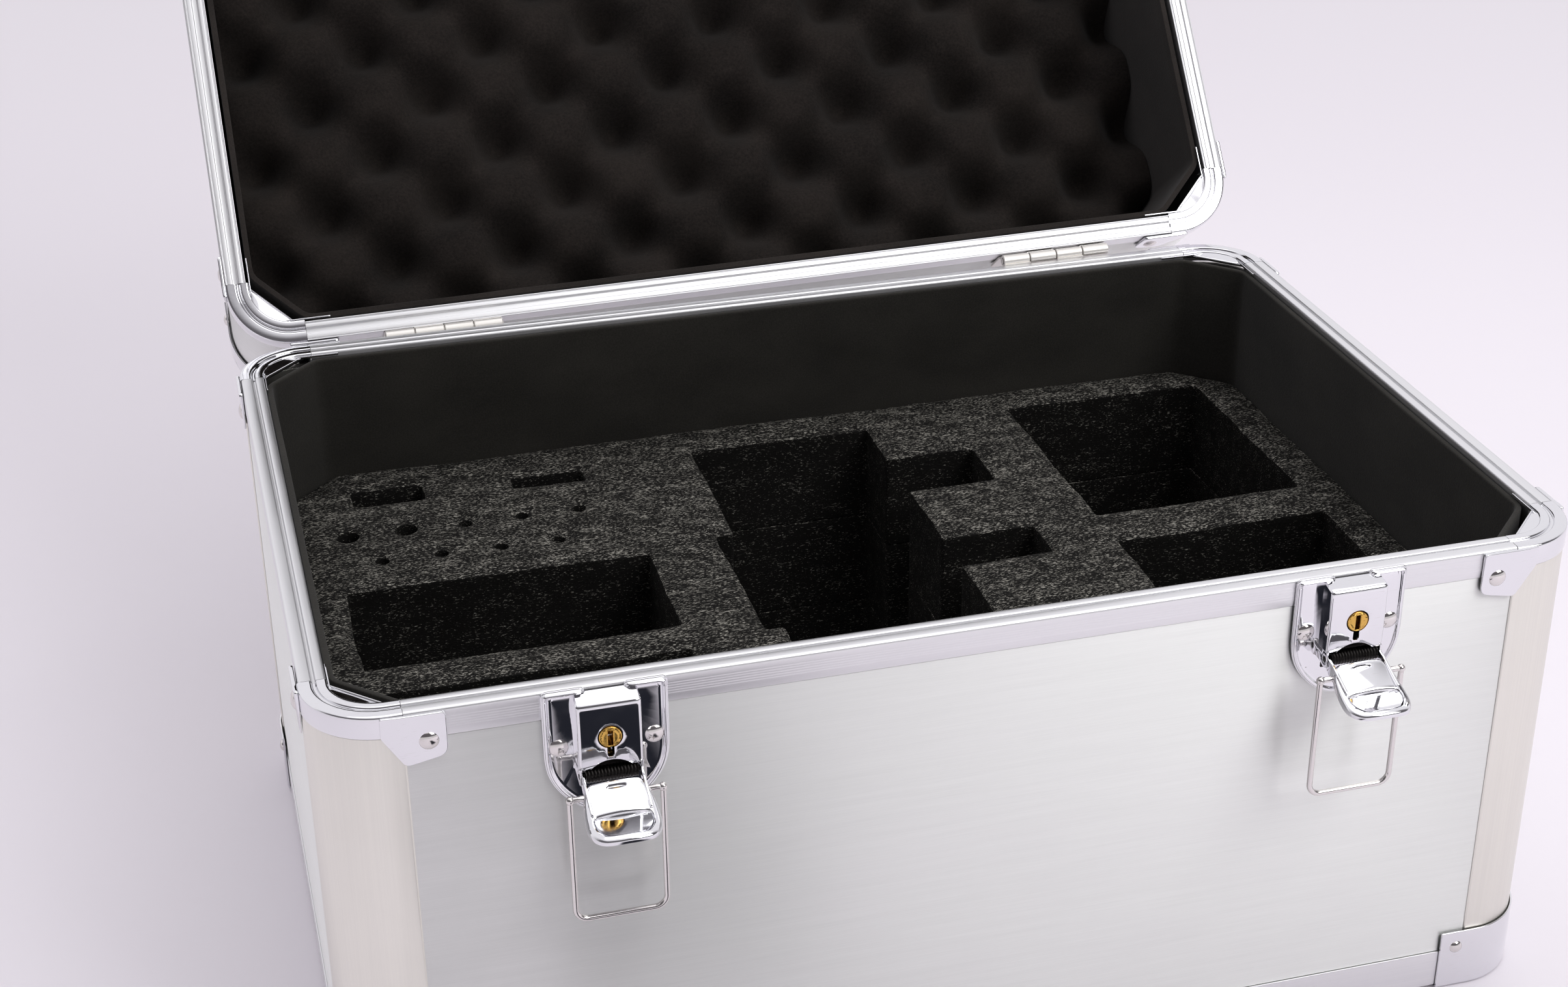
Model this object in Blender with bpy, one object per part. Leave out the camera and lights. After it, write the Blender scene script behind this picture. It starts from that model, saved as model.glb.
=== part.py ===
"""Aluminium-framed microphone case, standing with its lid open.

Lengths in this file are written in millimetres and turned into metres by MM.
x runs left to right, y from the front to the back and z upwards. Until the whole case is set
on its origin, x and y are counted from the middle of the base and z from the ground.

Most edges of the case follow one line: the inner edge of the rim, a rectangle with round
corners. A cross-section is a list of (out, up) points, where out is the distance outwards from
that line and up is the height above the rim.
"""
import math

import bmesh
import bpy
from mathutils import Matrix, Vector

MM = 0.001
GAP = 0.3

# Inside of the rim, seen from above
HALF_X = 200.0
HALF_Y = 130.0
INNER_RADIUS = 15.0
CORNER_STEPS = 6

# Heights of the base
CAP_SHEET = 0.7
EDGE_SHEET = 1.2
BOARD = 6.3
END_BOARD = 4.0
LAYER_THICKNESS = 39.3
LAYER_COUNT = 3
FOAM_BELOW_RIM = 51.5
EDGE_BOTTOM = CAP_SHEET + GAP
BOARD_BOTTOM = EDGE_BOTTOM + EDGE_SHEET + GAP
FLOOR_TOP = BOARD_BOTTOM + END_BOARD
FOAM_BOTTOM = FLOOR_TOP + 0.5
FOAM_TOP = FOAM_BOTTOM + LAYER_COUNT * LAYER_THICKNESS + (LAYER_COUNT - 1) * GAP
RIM_TOP = FOAM_TOP + FOAM_BELOW_RIM

# Layers of the wall, counted outwards from the rim's inner edge
RIM_WIDTH = 8.5
RIM_HEIGHT = 9.6
BOARD_IN = 1.3
BOARD_OUT = BOARD_IN + BOARD
POST_OUT = RIM_WIDTH
LINING_OUT = -GAP
LINING_IN = -2.5
LINING_BELOW_RIM = 2.2
LINING_CHAMFER = 20.0
POST_LEG = 3.8
POST_WALL = 3.2

# Lid, measured upwards from the plane where it meets the base
PARTING_GAP = 0.4
LID_RIM_INSET = 0.8
LID_HEIGHT = 88.6
LID_EDGE_TOP = LID_HEIGHT - CAP_SHEET - GAP
LID_BOARD_TOP = LID_EDGE_TOP - EDGE_SHEET - GAP
LID_BOARD_BOTTOM = LID_BOARD_TOP - END_BOARD
EGG_PITCH_X = 51.0
EGG_PITCH_Y = 47.2
EGG_START_X = -10.0
EGG_START_Y = HALF_Y - 57.5
EGG_PEAK = 50.0
EGG_VALLEY = 72.0

# Hinges: the pins sit just outside the back of the rim, and the right one a little higher
HINGE_OUT = 11.65
HINGE_DROP = 0.4
HINGE_TILT = math.radians(0.57)
HINGE_AT = 127.7
HINGE_WIDTH = 46.4
KNUCKLES = 4
KNUCKLE_RADIUS = 2.4
OPEN_ANGLE = math.radians(127.0)

# Chrome corners of the rim
SEAM_X = 180.5
SEAM_Y = 112.5
SEAM_STEP = 0.05
CHROME_SHEET = 0.6
TAB_LENGTH = 13.3
EDGE_LEG = 15.0
CAP_LEG = 24.0
CAP_REACH = 13.0

# Latches
LATCH_AT = 121.3
PLATE_BACK = RIM_WIDTH + GAP
PLATE_SHEET = 1.0
BOX_HALF = 9.8
BOX_OUT = 16.0
BOX_LOW = -24.6
PLUG_RADIUS = 3.5
PLUG_DROP = 14.0
LEVER_PIVOT_OUT = 14.5
LEVER_PIVOT_DROP = 27.2
LEVER_OPEN = math.radians(80.0)
BAIL_FROM_PIVOT = (7.45, -1.93)
BAIL_HALF = 14.2
BAIL_WIRE = 0.95
BAIL_LENGTH = 43.5

# Handle on the lid
HANDLE_HALF = 66.0
HANDLE_LIFT = 11.5
HANDLE_REACH = 36.0
GRIP_RADIUS = 8.0
HANG_ANGLE = math.radians(-53.0)

FRONT = -(HALF_Y)
ALUMINIUM = ((0.78, 0.78, 0.79), 0.34, 1.0)
BRUSHED = ((0.80, 0.80, 0.81), 0.38, 1.0)
CHROME = ((0.86, 0.86, 0.88), 0.08, 1.0)
BRASS = ((0.78, 0.58, 0.25), 0.25, 1.0)
STEEL = ((0.62, 0.61, 0.59), 0.3, 1.0)
LINING = ((0.012, 0.011, 0.010), 0.95, 0.0)
PLANK_FOAM = ((0.035, 0.033, 0.031), 0.9, 0.0)
EGG_FOAM = ((0.022, 0.019, 0.017), 0.95, 0.0)
PLASTIC = ((0.02, 0.02, 0.02), 0.45, 0.0)


def clear_scene():
    """Remove whatever the open file holds."""
    for thing in list(bpy.data.objects):
        bpy.data.objects.remove(thing, do_unlink=True)


def material(name, finish):
    """Make a plain material from a colour, a roughness and a metallic value."""
    colour, roughness, metallic = finish
    made = bpy.data.materials.new(name)
    made.use_nodes = True
    shader = made.node_tree.nodes["Principled BSDF"]
    shader.inputs["Base Color"].default_value = (*colour, 1.0)
    shader.inputs["Roughness"].default_value = roughness
    shader.inputs["Metallic"].default_value = metallic
    return made


def empty(name, at, parent=None, turn=None):
    """Add an empty at a place in millimetres, turned by a rotation matrix."""
    made = bpy.data.objects.new(name, None)
    bpy.context.collection.objects.link(made)
    made.parent = parent
    made.matrix_local = Matrix.Translation(Vector(at) * MM) @ (turn or Matrix())
    return made


def mesh_from(bm):
    """Turn a bmesh in millimetres into a mesh in metres with its faces pointing out."""
    bmesh.ops.remove_doubles(bm, verts=bm.verts, dist=0.0005)
    bmesh.ops.recalc_face_normals(bm, faces=bm.faces)
    bmesh.ops.scale(bm, vec=(MM, MM, MM), verts=bm.verts)
    mesh = bpy.data.meshes.new("shape")
    bm.to_mesh(mesh)
    bm.free()
    return mesh


def add(name, mesh, finish, parent, at=(0, 0, 0), smooth=False):
    """Add one named piece with its own material, placed under its parent."""
    piece = bpy.data.objects.new(name, mesh)
    mesh.materials.clear()
    mesh.materials.append(material(name, finish))
    if smooth:
        mesh.shade_smooth()
        mesh.set_sharp_from_angle(angle=math.radians(35.0))
    piece.parent = parent
    piece.location = Vector(at) * MM
    bpy.context.collection.objects.link(piece)
    return piece


def arc(centre, radius, start, end, steps):
    """Points along an arc, with its angles in degrees, both ends included."""
    points = []
    for step in range(steps + 1):
        angle = math.radians(start + (end - start) * step / steps)
        points.append((centre[0] + radius * math.cos(angle), centre[1] + radius * math.sin(angle)))
    return points


def round_rectangle(half_x, half_y, radius, steps=CORNER_STEPS):
    """Outline of a rectangle with round corners about the middle, anticlockwise."""
    points = []
    for index, (sx, sy) in enumerate(((1, 1), (-1, 1), (-1, -1), (1, -1))):
        centre = (sx * (half_x - radius), sy * (half_y - radius))
        points += arc(centre, radius, 90 * index, 90 * index + 90, steps)
    return points


def cut_rectangle(half_x, half_y, leg):
    """Outline of a rectangle with its corners cut off at 45 degrees, anticlockwise."""
    return [
        (half_x, half_y - leg), (half_x - leg, half_y),
        (leg - half_x, half_y), (-half_x, half_y - leg),
        (-half_x, leg - half_y), (leg - half_x, -half_y),
        (half_x - leg, -half_y), (half_x, leg - half_y),
    ]


def box_outline(x0, x1, y0, y1):
    """Outline of an upright rectangle."""
    return [(x0, y0), (x1, y0), (x1, y1), (x0, y1)]


def plate_bmesh(outline, low, high, holes=(), axes="xyz"):
    """Solid between two levels with an outline and holes.

    The outline lies in the plane of the first two axes and is raised along the third.
    """
    bm = bmesh.new()
    edges = []
    for loop in (outline, *holes):
        verts = [bm.verts.new((a, b, low)) for a, b in loop]
        edges += [bm.edges.new((verts[i - 1], verts[i])) for i in range(len(verts))]
    filled = bmesh.ops.triangle_fill(bm, use_beauty=True, edges=edges)
    faces = [item for item in filled["geom"] if isinstance(item, bmesh.types.BMFace)]
    raised = bmesh.ops.extrude_face_region(bm, geom=faces)
    moved = [item for item in raised["geom"] if isinstance(item, bmesh.types.BMVert)]
    bmesh.ops.translate(bm, vec=(0, 0, high - low), verts=moved)
    order = ["xyz".index(letter) for letter in axes]
    for vert in bm.verts:
        spread = [0.0, 0.0, 0.0]
        for value, axis in zip(vert.co, order):
            spread[axis] = value
        vert.co = spread
    return bm


def plate(outline, low, high, holes=(), axes="xyz"):
    """Mesh of a solid between two levels with an outline and holes."""
    return mesh_from(plate_bmesh(outline, low, high, holes, axes))


def block(x0, x1, y0, y1, z0, z1):
    """Mesh of a rectangular block."""
    return plate(box_outline(x0, x1, y0, y1), z0, z1)


def rod(radius, start, end, sides=16):
    """Mesh of a round bar between two points."""
    bm = bmesh.new()
    run = Vector(end) - Vector(start)
    turn = Vector((0, 0, 1)).rotation_difference(run).to_matrix().to_4x4()
    middle = (Vector(start) + Vector(end)) / 2
    bmesh.ops.create_cone(
        bm, cap_ends=True, segments=sides, radius1=radius, radius2=radius, depth=run.length,
        matrix=Matrix.Translation(middle) @ turn,
    )
    return mesh_from(bm)


def tube_along(points, radius, sides=10):
    """Mesh of a round wire through a list of points, with flat ends."""
    bm = bmesh.new()
    places = [Vector(point) for point in points]
    rings = []
    side = None
    for index, place in enumerate(places):
        ahead = places[min(index + 1, len(places) - 1)] - place
        behind = place - places[max(index - 1, 0)]
        run = (ahead.normalized() + behind.normalized()).normalized()
        if side is None:
            side = run.orthogonal().normalized()
        side = (side - run * side.dot(run)).normalized()
        up = run.cross(side)
        ring = []
        for step in range(sides):
            angle = 2 * math.pi * step / sides
            ring.append(bm.verts.new(place + radius * (side * math.cos(angle) + up * math.sin(angle))))
        rings.append(ring)
    for first, second in zip(rings, rings[1:]):
        for step in range(sides):
            after = (step + 1) % sides
            bm.faces.new((first[step], first[after], second[after], second[step]))
    bm.faces.new(rings[0])
    bm.faces.new(rings[-1])
    return mesh_from(bm)


def corner_stations(sx, sy, steps=CORNER_STEPS):
    """Places and outward directions along the rim's inner edge round one corner."""
    centre_x = HALF_X - INNER_RADIUS
    centre_y = HALF_Y - INNER_RADIUS
    stations = []
    for step in range(steps + 1):
        angle = math.radians(90.0 * step / steps)
        out = Vector((math.cos(angle), math.sin(angle)))
        place = Vector((centre_x, centre_y)) + out * INNER_RADIUS
        stations.append((Vector((place.x * sx, place.y * sy)), Vector((out.x * sx, out.y * sy))))
    if sx * sy < 0:
        stations.reverse()
    return stations


def sweep_bmesh(stations, profiles, closed):
    """Solid swept along stations, where each station has its own cross-section."""
    bm = bmesh.new()
    rings = []
    for (place, out), profile in zip(stations, profiles):
        ring = []
        for reach, up in profile:
            spot = place + out * reach
            ring.append(bm.verts.new((spot.x, spot.y, up)))
        rings.append(ring)
    pairs = list(zip(rings, rings[1:]))
    if closed:
        pairs.append((rings[-1], rings[0]))
    for first, second in pairs:
        for index in range(len(first)):
            bm.faces.new((first[index - 1], first[index], second[index], second[index - 1]))
    if not closed:
        bm.faces.new(rings[0])
        bm.faces.new(rings[-1])
    return bm


def frame_ring(profile, at_corners=None):
    """Mesh of a frame with one cross-section, stepped down round the corners if told to."""
    at_corners = at_corners or profile
    stations = []
    profiles = []
    for sx, sy in ((1, 1), (-1, 1), (-1, -1), (1, -1)):
        corner = corner_stations(sx, sy)
        if at_corners is profile:
            stations += corner
            profiles += [profile] * len(corner)
            continue
        for place, out, cross in seam_stations(sx, sy, corner, profile, at_corners):
            stations.append((place, out))
            profiles.append(cross)
    return mesh_from(sweep_bmesh(stations, profiles, closed=True))


def seam_stations(sx, sy, corner, profile, at_corners):
    """Stations of one corner with the two seams where its cross-section changes."""
    on_side = Vector((HALF_X * sx, SEAM_Y * sy)), Vector((sx, 0.0))
    on_end = Vector((SEAM_X * sx, HALF_Y * sy)), Vector((0.0, sy))
    first, last = (on_side, on_end) if sx * sy > 0 else (on_end, on_side)
    towards = (corner[0][0] - first[0]).normalized() * SEAM_STEP
    away = (corner[-1][0] - last[0]).normalized() * SEAM_STEP
    yield first[0], first[1], profile
    yield first[0] + towards, first[1], at_corners
    for place, out in corner:
        yield place, out, at_corners
    yield last[0] + away, last[1], at_corners
    yield last[0], last[1], profile


def combine(mesh, others, operation):
    """Join or cut a mesh with others and return the finished mesh."""
    body = bpy.data.objects.new("body", mesh)
    bpy.context.collection.objects.link(body)
    helpers = []
    for other in others:
        helper = bpy.data.objects.new("helper", other)
        bpy.context.collection.objects.link(helper)
        helpers.append(helper)
        step = body.modifiers.new("step", "BOOLEAN")
        step.operation = operation
        step.object = helper
        step.solver = "EXACT"
    seen = bpy.context.evaluated_depsgraph_get()
    seen.update()
    finished = bpy.data.meshes.new_from_object(body.evaluated_get(seen))
    for thing in (body, *helpers):
        bpy.data.objects.remove(thing, do_unlink=True)
    return finished


def join(mesh, *others):
    """Union of meshes as one closed body."""
    return combine(mesh, others, "UNION")


def cut(mesh, *others):
    """A mesh with others cut out of it."""
    return combine(mesh, others, "DIFFERENCE")


def flipped(mesh, signs, lift=0.0):
    """A copy of a mesh mirrored by signs along x, y and z, then lifted."""
    bm = bmesh.new()
    bm.from_mesh(mesh)
    bmesh.ops.transform(bm, matrix=Matrix.Diagonal((*signs, 1.0)), verts=bm.verts)
    bmesh.ops.translate(bm, vec=(0, 0, lift * MM), verts=bm.verts)
    bmesh.ops.recalc_face_normals(bm, faces=bm.faces)
    copy = bpy.data.meshes.new("shape")
    bm.to_mesh(copy)
    bm.free()
    return copy


def rim_section(inner=0.0):
    """Cross-section of the rim: two beads with a groove, and two legs that hold the board."""
    bead = inner + 3.2
    return [
        (inner, -RIM_HEIGHT), (inner, -1.0), (inner + 0.35, -0.3), (inner + 1.0, 0.0),
        (bead - 1.0, 0.0), (bead - 0.3, -0.35), (bead, -1.3), (bead + 1.0, -1.3),
        (bead + 1.3, -0.35), (bead + 2.0, 0.0), (RIM_WIDTH - 1.2, 0.0), (RIM_WIDTH - 0.4, -0.3),
        (RIM_WIDTH, -1.0), (RIM_WIDTH, -RIM_HEIGHT), (RIM_WIDTH - 0.6, -RIM_HEIGHT),
        (RIM_WIDTH - 0.6, -3.2), (inner + 1.0, -3.2), (inner + 1.0, -RIM_HEIGHT),
    ]


def covered_section(inner=0.0):
    """Cross-section of the rim where a chrome corner covers it, without its legs."""
    low = -1.9
    near = inner + 0.8
    far = RIM_WIDTH - 0.5
    return [
        (near, -2.8), (near, low - 0.3), (near + 0.1, low - 0.2), (near + 0.3, low),
        (2.6, low), (2.8, low), (3.0, low), (3.2, low),
        (3.4, low), (4.6, low), (far - 0.9, low), (far - 0.3, low - 0.1),
        (far, low - 0.3), (far, -2.8), (far - 0.2, -3.0),
        (far - 0.5, -3.2), (near + 0.5, -3.2), (near + 0.2, -3.0),
    ]


def chrome_section():
    """Cross-section of the chrome sheet that is bent over the rim's corner."""
    outside = [
        (8.9, -8.2), (8.9, -1.0), (8.6, -0.35), (7.9, 0.0), (5.3, 0.0), (4.6, -0.35),
        (4.3, -0.9), (3.4, -0.9), (3.1, -0.35), (2.4, 0.0), (0.9, 0.0), (0.2, -0.35),
        (-0.1, -1.0), (-0.1, -1.6),
    ]
    inside = [
        (0.5, -1.6), (0.5, -1.1), (1.0, -0.6), (2.3, -0.6), (2.8, -1.0), (3.0, -1.5),
        (4.7, -1.5), (4.9, -1.0), (5.4, -0.6), (7.8, -0.6), (8.2, -1.0), (8.3, -1.4), (8.3, -8.2),
    ]
    return outside + inside


def rim_corner_mesh():
    """Chrome corner of the rim: bent sheet, inner web with its lip, and two outer tabs."""
    centre_x = HALF_X - INNER_RADIUS
    centre_y = HALF_Y - INNER_RADIUS
    stations = corner_stations(1, 1)
    stations.insert(0, (Vector((HALF_X, SEAM_Y + GAP)), Vector((1.0, 0.0))))
    stations.append((Vector((SEAM_X + GAP, HALF_Y)), Vector((0.0, 1.0))))
    sheet = mesh_from(sweep_bmesh(stations, [chrome_section()] * len(stations), closed=False))
    inner_arc = arc((centre_x, centre_y), INNER_RADIUS + 0.3, 0, 90, CORNER_STEPS)
    web = plate(inner_arc, -1.6, -1.0)
    lip_far = (HALF_X + 0.1, centre_y + 0.6)
    lip_near = (centre_x + 0.6, HALF_Y + 0.1)
    step = Vector((-0.75, -0.75))
    lip = plate(
        [lip_far, lip_near, (lip_near[0] + step.x, lip_near[1] + step.y),
         (lip_far[0] + step.x, lip_far[1] + step.y)],
        -1.6, -0.1,
    )
    inner_side = block(HALF_X - 0.9, HALF_X - GAP, SEAM_Y - 15.0, centre_y + 3.0, -1.75, -0.8)
    inner_end = block(SEAM_X - 15.0, centre_x + 3.0, HALF_Y - 0.9, HALF_Y - GAP, -1.75, -0.8)
    return join(sheet, web, lip, side_tab(), end_tab(), inner_side, inner_end)


def tab_outline(seam, reach):
    """Outline of a tab as (along, up), from its far end back past the seam."""
    far = seam - TAB_LENGTH
    outline = arc((far + 1.8, -4.0), 1.8, 180, 90, 3)
    outline += [(seam + reach, -2.2), (seam + reach, -7.6), (seam + 0.4, -17.0)]
    outline += arc((far + 3.0, -11.9), 3.0, 270, 180, 4)
    return outline


def end_tab():
    """Tab on the front or back face of a chrome corner."""
    near = HALF_Y + PLATE_BACK
    return plate(tab_outline(SEAM_X, 7.0), near, near + CHROME_SHEET, axes="xzy")


def side_tab():
    """Tab on the left or right face of a chrome corner."""
    near = HALF_X + PLATE_BACK
    return plate(tab_outline(SEAM_Y, 5.0), near, near + CHROME_SHEET, axes="yzx")


def cap_mesh():
    """Chrome cap of a bottom corner, with its underside at zero height."""
    outer = PLATE_BACK + CAP_SHEET
    section = [
        (outer, CAP_LEG), (outer, 1.6), (outer - 0.5, 0.5), (outer - 1.6, 0.0),
        (-6.0, 0.0), (-6.0, CAP_SHEET), (PLATE_BACK - 1.2, CAP_SHEET),
        (PLATE_BACK - 0.2, 1.3), (PLATE_BACK, 2.0), (PLATE_BACK, CAP_LEG),
    ]
    stations = corner_stations(1, 1)
    side = Vector((HALF_X, HALF_Y - INNER_RADIUS - CAP_REACH))
    end = Vector((HALF_X - INNER_RADIUS - CAP_REACH, HALF_Y))
    stations.insert(0, (side, Vector((1.0, 0.0))))
    stations.append((end, Vector((0.0, 1.0))))
    return mesh_from(sweep_bmesh(stations, [section] * len(stations), closed=False))


def edge_section(bottom, side):
    """Cross-section of the edge frame: a flat leg at a level and a leg along the wall."""
    outer = POST_OUT
    inner = BOARD_OUT + GAP
    return [
        (-8.0, bottom), (outer - 1.0, bottom), (outer, bottom + side * 1.0),
        (outer, bottom + side * EDGE_LEG), (inner, bottom + side * EDGE_LEG),
        (inner, bottom + side * EDGE_SHEET), (-8.0, bottom + side * EDGE_SHEET),
    ]


def post_outline():
    """Plan of a corner post: a thick round corner with two thin legs over the boards."""
    centre = (HALF_X - INNER_RADIUS, HALF_Y - INNER_RADIUS)
    outer = INNER_RADIUS + POST_OUT
    leg = INNER_RADIUS + BOARD_OUT + GAP
    inner = outer - POST_WALL
    outline = [(centre[0] + leg, centre[1] - POST_LEG), (centre[0] + outer, centre[1] - POST_LEG)]
    outline += arc(centre, outer, 0, 90, 8)
    outline += [(centre[0] - POST_LEG, centre[1] + outer), (centre[0] - POST_LEG, centre[1] + leg)]
    outline += [(centre[0], centre[1] + leg)]
    outline += arc(centre, inner, 90, 0, 8)
    outline += [(centre[0] + leg, centre[1])]
    return outline


def build_base_shell(base):
    """Boards, posts, rim, edge frame, chrome corners and lining of the base."""
    reach = BOARD_IN - GAP
    floor = round_rectangle(HALF_X + reach, HALF_Y + reach, INNER_RADIUS + reach)
    add("base_floor_board", plate(floor, BOARD_BOTTOM, FLOOR_TOP), BRUSHED, base)
    board_top = RIM_TOP - 3.5
    long_half = HALF_X - INNER_RADIUS - 0.4
    short_half = HALF_Y - INNER_RADIUS - 0.4
    for name, sy in (("base_front_board", -1), ("base_back_board", 1)):
        near, far = sorted((sy * (HALF_Y + BOARD_IN), sy * (HALF_Y + BOARD_OUT)))
        add(name, block(-long_half, long_half, near, far, BOARD_BOTTOM, board_top), BRUSHED, base)
    for name, sx in (("base_left_board", -1), ("base_right_board", 1)):
        near, far = sorted((sx * (HALF_X + BOARD_IN), sx * (HALF_X + BOARD_OUT)))
        add(name, block(near, far, -short_half, short_half, BOARD_BOTTOM, board_top), BRUSHED, base)
    post = plate(post_outline(), EDGE_BOTTOM + EDGE_LEG + GAP, RIM_TOP - RIM_HEIGHT - GAP)
    for where, sx, sy in CORNERS:
        add(f"base_post_{where}", flipped(post, (sx, sy, 1)), ALUMINIUM, base, smooth=True)
    add("base_edge_frame", frame_ring(edge_section(EDGE_BOTTOM, 1)), ALUMINIUM, base, smooth=True)
    rim = frame_ring(rim_section(), covered_section())
    add("base_rim_frame", rim, ALUMINIUM, base, at=(0, 0, RIM_TOP), smooth=True)


def build_base_inside(base):
    """Lining and the three foam layers of the base."""
    lining = lining_mesh(FLOOR_TOP + GAP, RIM_TOP - LINING_BELOW_RIM)
    add("base_lining", lining, LINING, base)
    half_x = HALF_X + LINING_IN - GAP
    half_y = HALF_Y + LINING_IN - GAP
    outline = cut_rectangle(half_x, half_y, LINING_CHAMFER)
    deep = [central_pocket()]
    middle = deep + [BACK_POCKET, FRONT_POCKET]
    top = middle + [WIDE_POCKET, *NOTCHES] + round_holes()
    layers = (("foam_layer_bottom", deep), ("foam_layer_middle", middle), ("foam_layer_top", top))
    for index, (name, holes) in enumerate(layers):
        low = FOAM_BOTTOM + index * (LAYER_THICKNESS + GAP)
        add(name, plate(outline, low, low + LAYER_THICKNESS, holes), PLANK_FOAM, base)


def lining_mesh(low, high):
    """Lining round the inside of a half, with its corners cut off."""
    thickness = LINING_OUT - LINING_IN
    outer_leg = LINING_CHAMFER + thickness * (2.0 - math.sqrt(2.0))
    outer = cut_rectangle(HALF_X + LINING_OUT, HALF_Y + LINING_OUT, outer_leg)
    inner = cut_rectangle(HALF_X + LINING_IN, HALF_Y + LINING_IN, LINING_CHAMFER)
    return plate(outer, low, high, [inner])


def central_pocket():
    """Outline of the deep middle pocket with its two side slots and its stepped left wall."""
    left, recess, right, slot = -38.0, -45.0, 35.8, 71.0
    back, front = 107.0, -92.0
    return [
        (left, back), (left, 36.0), (recess, 36.0), (recess, -36.0), (left, -36.0),
        (left, front), (right, front), (right, -11.0), (slot, -11.0), (slot, 10.0),
        (right, 10.0), (right, 50.5), (slot, 50.5), (slot, 78.5), (right, 78.5), (right, back),
    ]


BACK_POCKET = box_outline(97.0, 180.5, 12.0, 110.0)
FRONT_POCKET = box_outline(97.0, 180.5, -108.0, -9.5)
WIDE_POCKET = box_outline(-183.3, -72.0, -25.0, 30.0)
NOTCHES = (
    box_outline(-172.5, -145.0, 96.0, 109.0),
    box_outline(-111.0, -82.5, 96.0, 105.0),
    box_outline(-182.0, -73.0, -100.0, -41.5),
)
CORNERS = (
    ("front_left", -1, -1), ("front_right", 1, -1), ("back_left", -1, 1), ("back_right", 1, 1),
)


def round_holes():
    """Outlines of the round holes: two rows, staggered, with the first two larger."""
    holes = []
    for index in range(5):
        radius = 4.2 if index < 2 else 2.6
        holes.append(arc((-178.0 + 22.1 * index, 73.0), radius, 0, 330, 11))
    for index in range(4):
        holes.append(arc((-167.0 + 21.7 * index, 51.0), 2.6, 0, 330, 11))
    return holes


def build_base_corners(base):
    """Chrome rim corners and bottom caps of the base."""
    corner = rim_corner_mesh()
    cap = cap_mesh()
    for where, sx, sy in CORNERS:
        rim_copy = flipped(corner, (sx, sy, 1), RIM_TOP)
        add(f"base_rim_corner_{where}", rim_copy, CHROME, base, smooth=True)
        add(f"base_bottom_cap_{where}", flipped(cap, (sx, sy, 1)), CHROME, base, smooth=True)
    return corner, cap


def egg_surface(x, y):
    """Height of the egg-crate foam's face above the plane of the lid's rim."""
    across = 2 * math.pi * (x - EGG_START_X) / EGG_PITCH_X
    along = 2 * math.pi * (y - EGG_START_Y) / EGG_PITCH_Y
    middle = (EGG_VALLEY + EGG_PEAK) / 2
    return middle + (EGG_VALLEY - EGG_PEAK) / 2 * math.cos(across) * math.cos(along)


def egg_lines(half, start, pitch):
    """Places of the grid lines over the foam: four to a wave, and one at each edge."""
    step = pitch / 4
    first = math.ceil((-half + 1.0 - start) / step)
    last = math.floor((half - 1.0 - start) / step)
    return [-half] + [start + step * index for index in range(first, last + 1)] + [half]


def egg_crate_mesh(half_x, half_y, back):
    """Sheet of egg-crate foam with its waves facing down and a flat back."""
    bm = bmesh.new()
    face = []
    for y in egg_lines(half_y, EGG_START_Y, EGG_PITCH_Y):
        places = egg_lines(half_x, EGG_START_X, EGG_PITCH_X)
        face.append([bm.verts.new((x, y, egg_surface(x, y))) for x in places])
    for first, second in zip(face, face[1:]):
        for index in range(len(first) - 1):
            bm.faces.new((first[index], first[index + 1], second[index + 1], second[index]))
    border = face[0] + [line[-1] for line in face[1:]]
    border += face[-1][-2::-1] + [line[0] for line in face[-2:0:-1]]
    flat = [bm.verts.new((vert.co.x, vert.co.y, back)) for vert in border]
    for index in range(len(border)):
        bm.faces.new((border[index - 1], border[index], flat[index], flat[index - 1]))
    bm.faces.new(flat)
    return mesh_from(bm)


def build_lid(lid, to_lid, corner, cap):
    """Lid shell, lining, foam and chrome corners, under the empty on the hinge axis."""
    plane = RIM_TOP + PARTING_GAP
    wall_in = BOARD_IN + LID_RIM_INSET
    wall = [(wall_in, 3.5), (BOARD_OUT, 3.5), (BOARD_OUT, LID_BOARD_TOP), (wall_in, LID_BOARD_TOP)]
    reach = wall_in - GAP
    top = round_rectangle(HALF_X + reach, HALF_Y + reach, INNER_RADIUS + reach)
    at = Vector(to_lid) + Vector((0, 0, plane))
    add("lid_wall_band", frame_ring(wall), BRUSHED, lid, at, smooth=True)
    add("lid_top_board", plate(top, LID_BOARD_BOTTOM, LID_BOARD_TOP), BRUSHED, lid, at)
    add("lid_edge_frame", frame_ring(edge_section(LID_EDGE_TOP, -1)), ALUMINIUM, lid, at, smooth=True)
    rim = flipped(frame_ring(rim_section(LID_RIM_INSET), covered_section(LID_RIM_INSET)), (1, 1, -1))
    add("lid_rim_frame", rim, ALUMINIUM, lid, at, smooth=True)
    add("lid_lining", lining_mesh(LINING_BELOW_RIM, LID_BOARD_BOTTOM - GAP), LINING, lid, at)
    half_x = HALF_X + LINING_IN - GAP
    half_y = HALF_Y + LINING_IN - GAP
    foam = egg_crate_mesh(half_x, half_y, LID_BOARD_BOTTOM - GAP)
    outline = cut_rectangle(half_x, half_y, LINING_CHAMFER)
    keep = plate(outline, EGG_PEAK - 5.0, LID_BOARD_BOTTOM + 5.0)
    foam = combine(foam, [keep], "INTERSECT")
    add("lid_egg_crate_foam", foam, EGG_FOAM, lid, at, smooth=True)
    for where, sx, sy in CORNERS:
        add(f"lid_rim_corner_{where}", flipped(corner, (sx, sy, -1)), CHROME, lid, at, smooth=True)
        top_cap = flipped(cap, (sx, sy, -1), LID_HEIGHT)
        add(f"lid_top_cap_{where}", top_cap, CHROME, lid, at, smooth=True)


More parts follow.
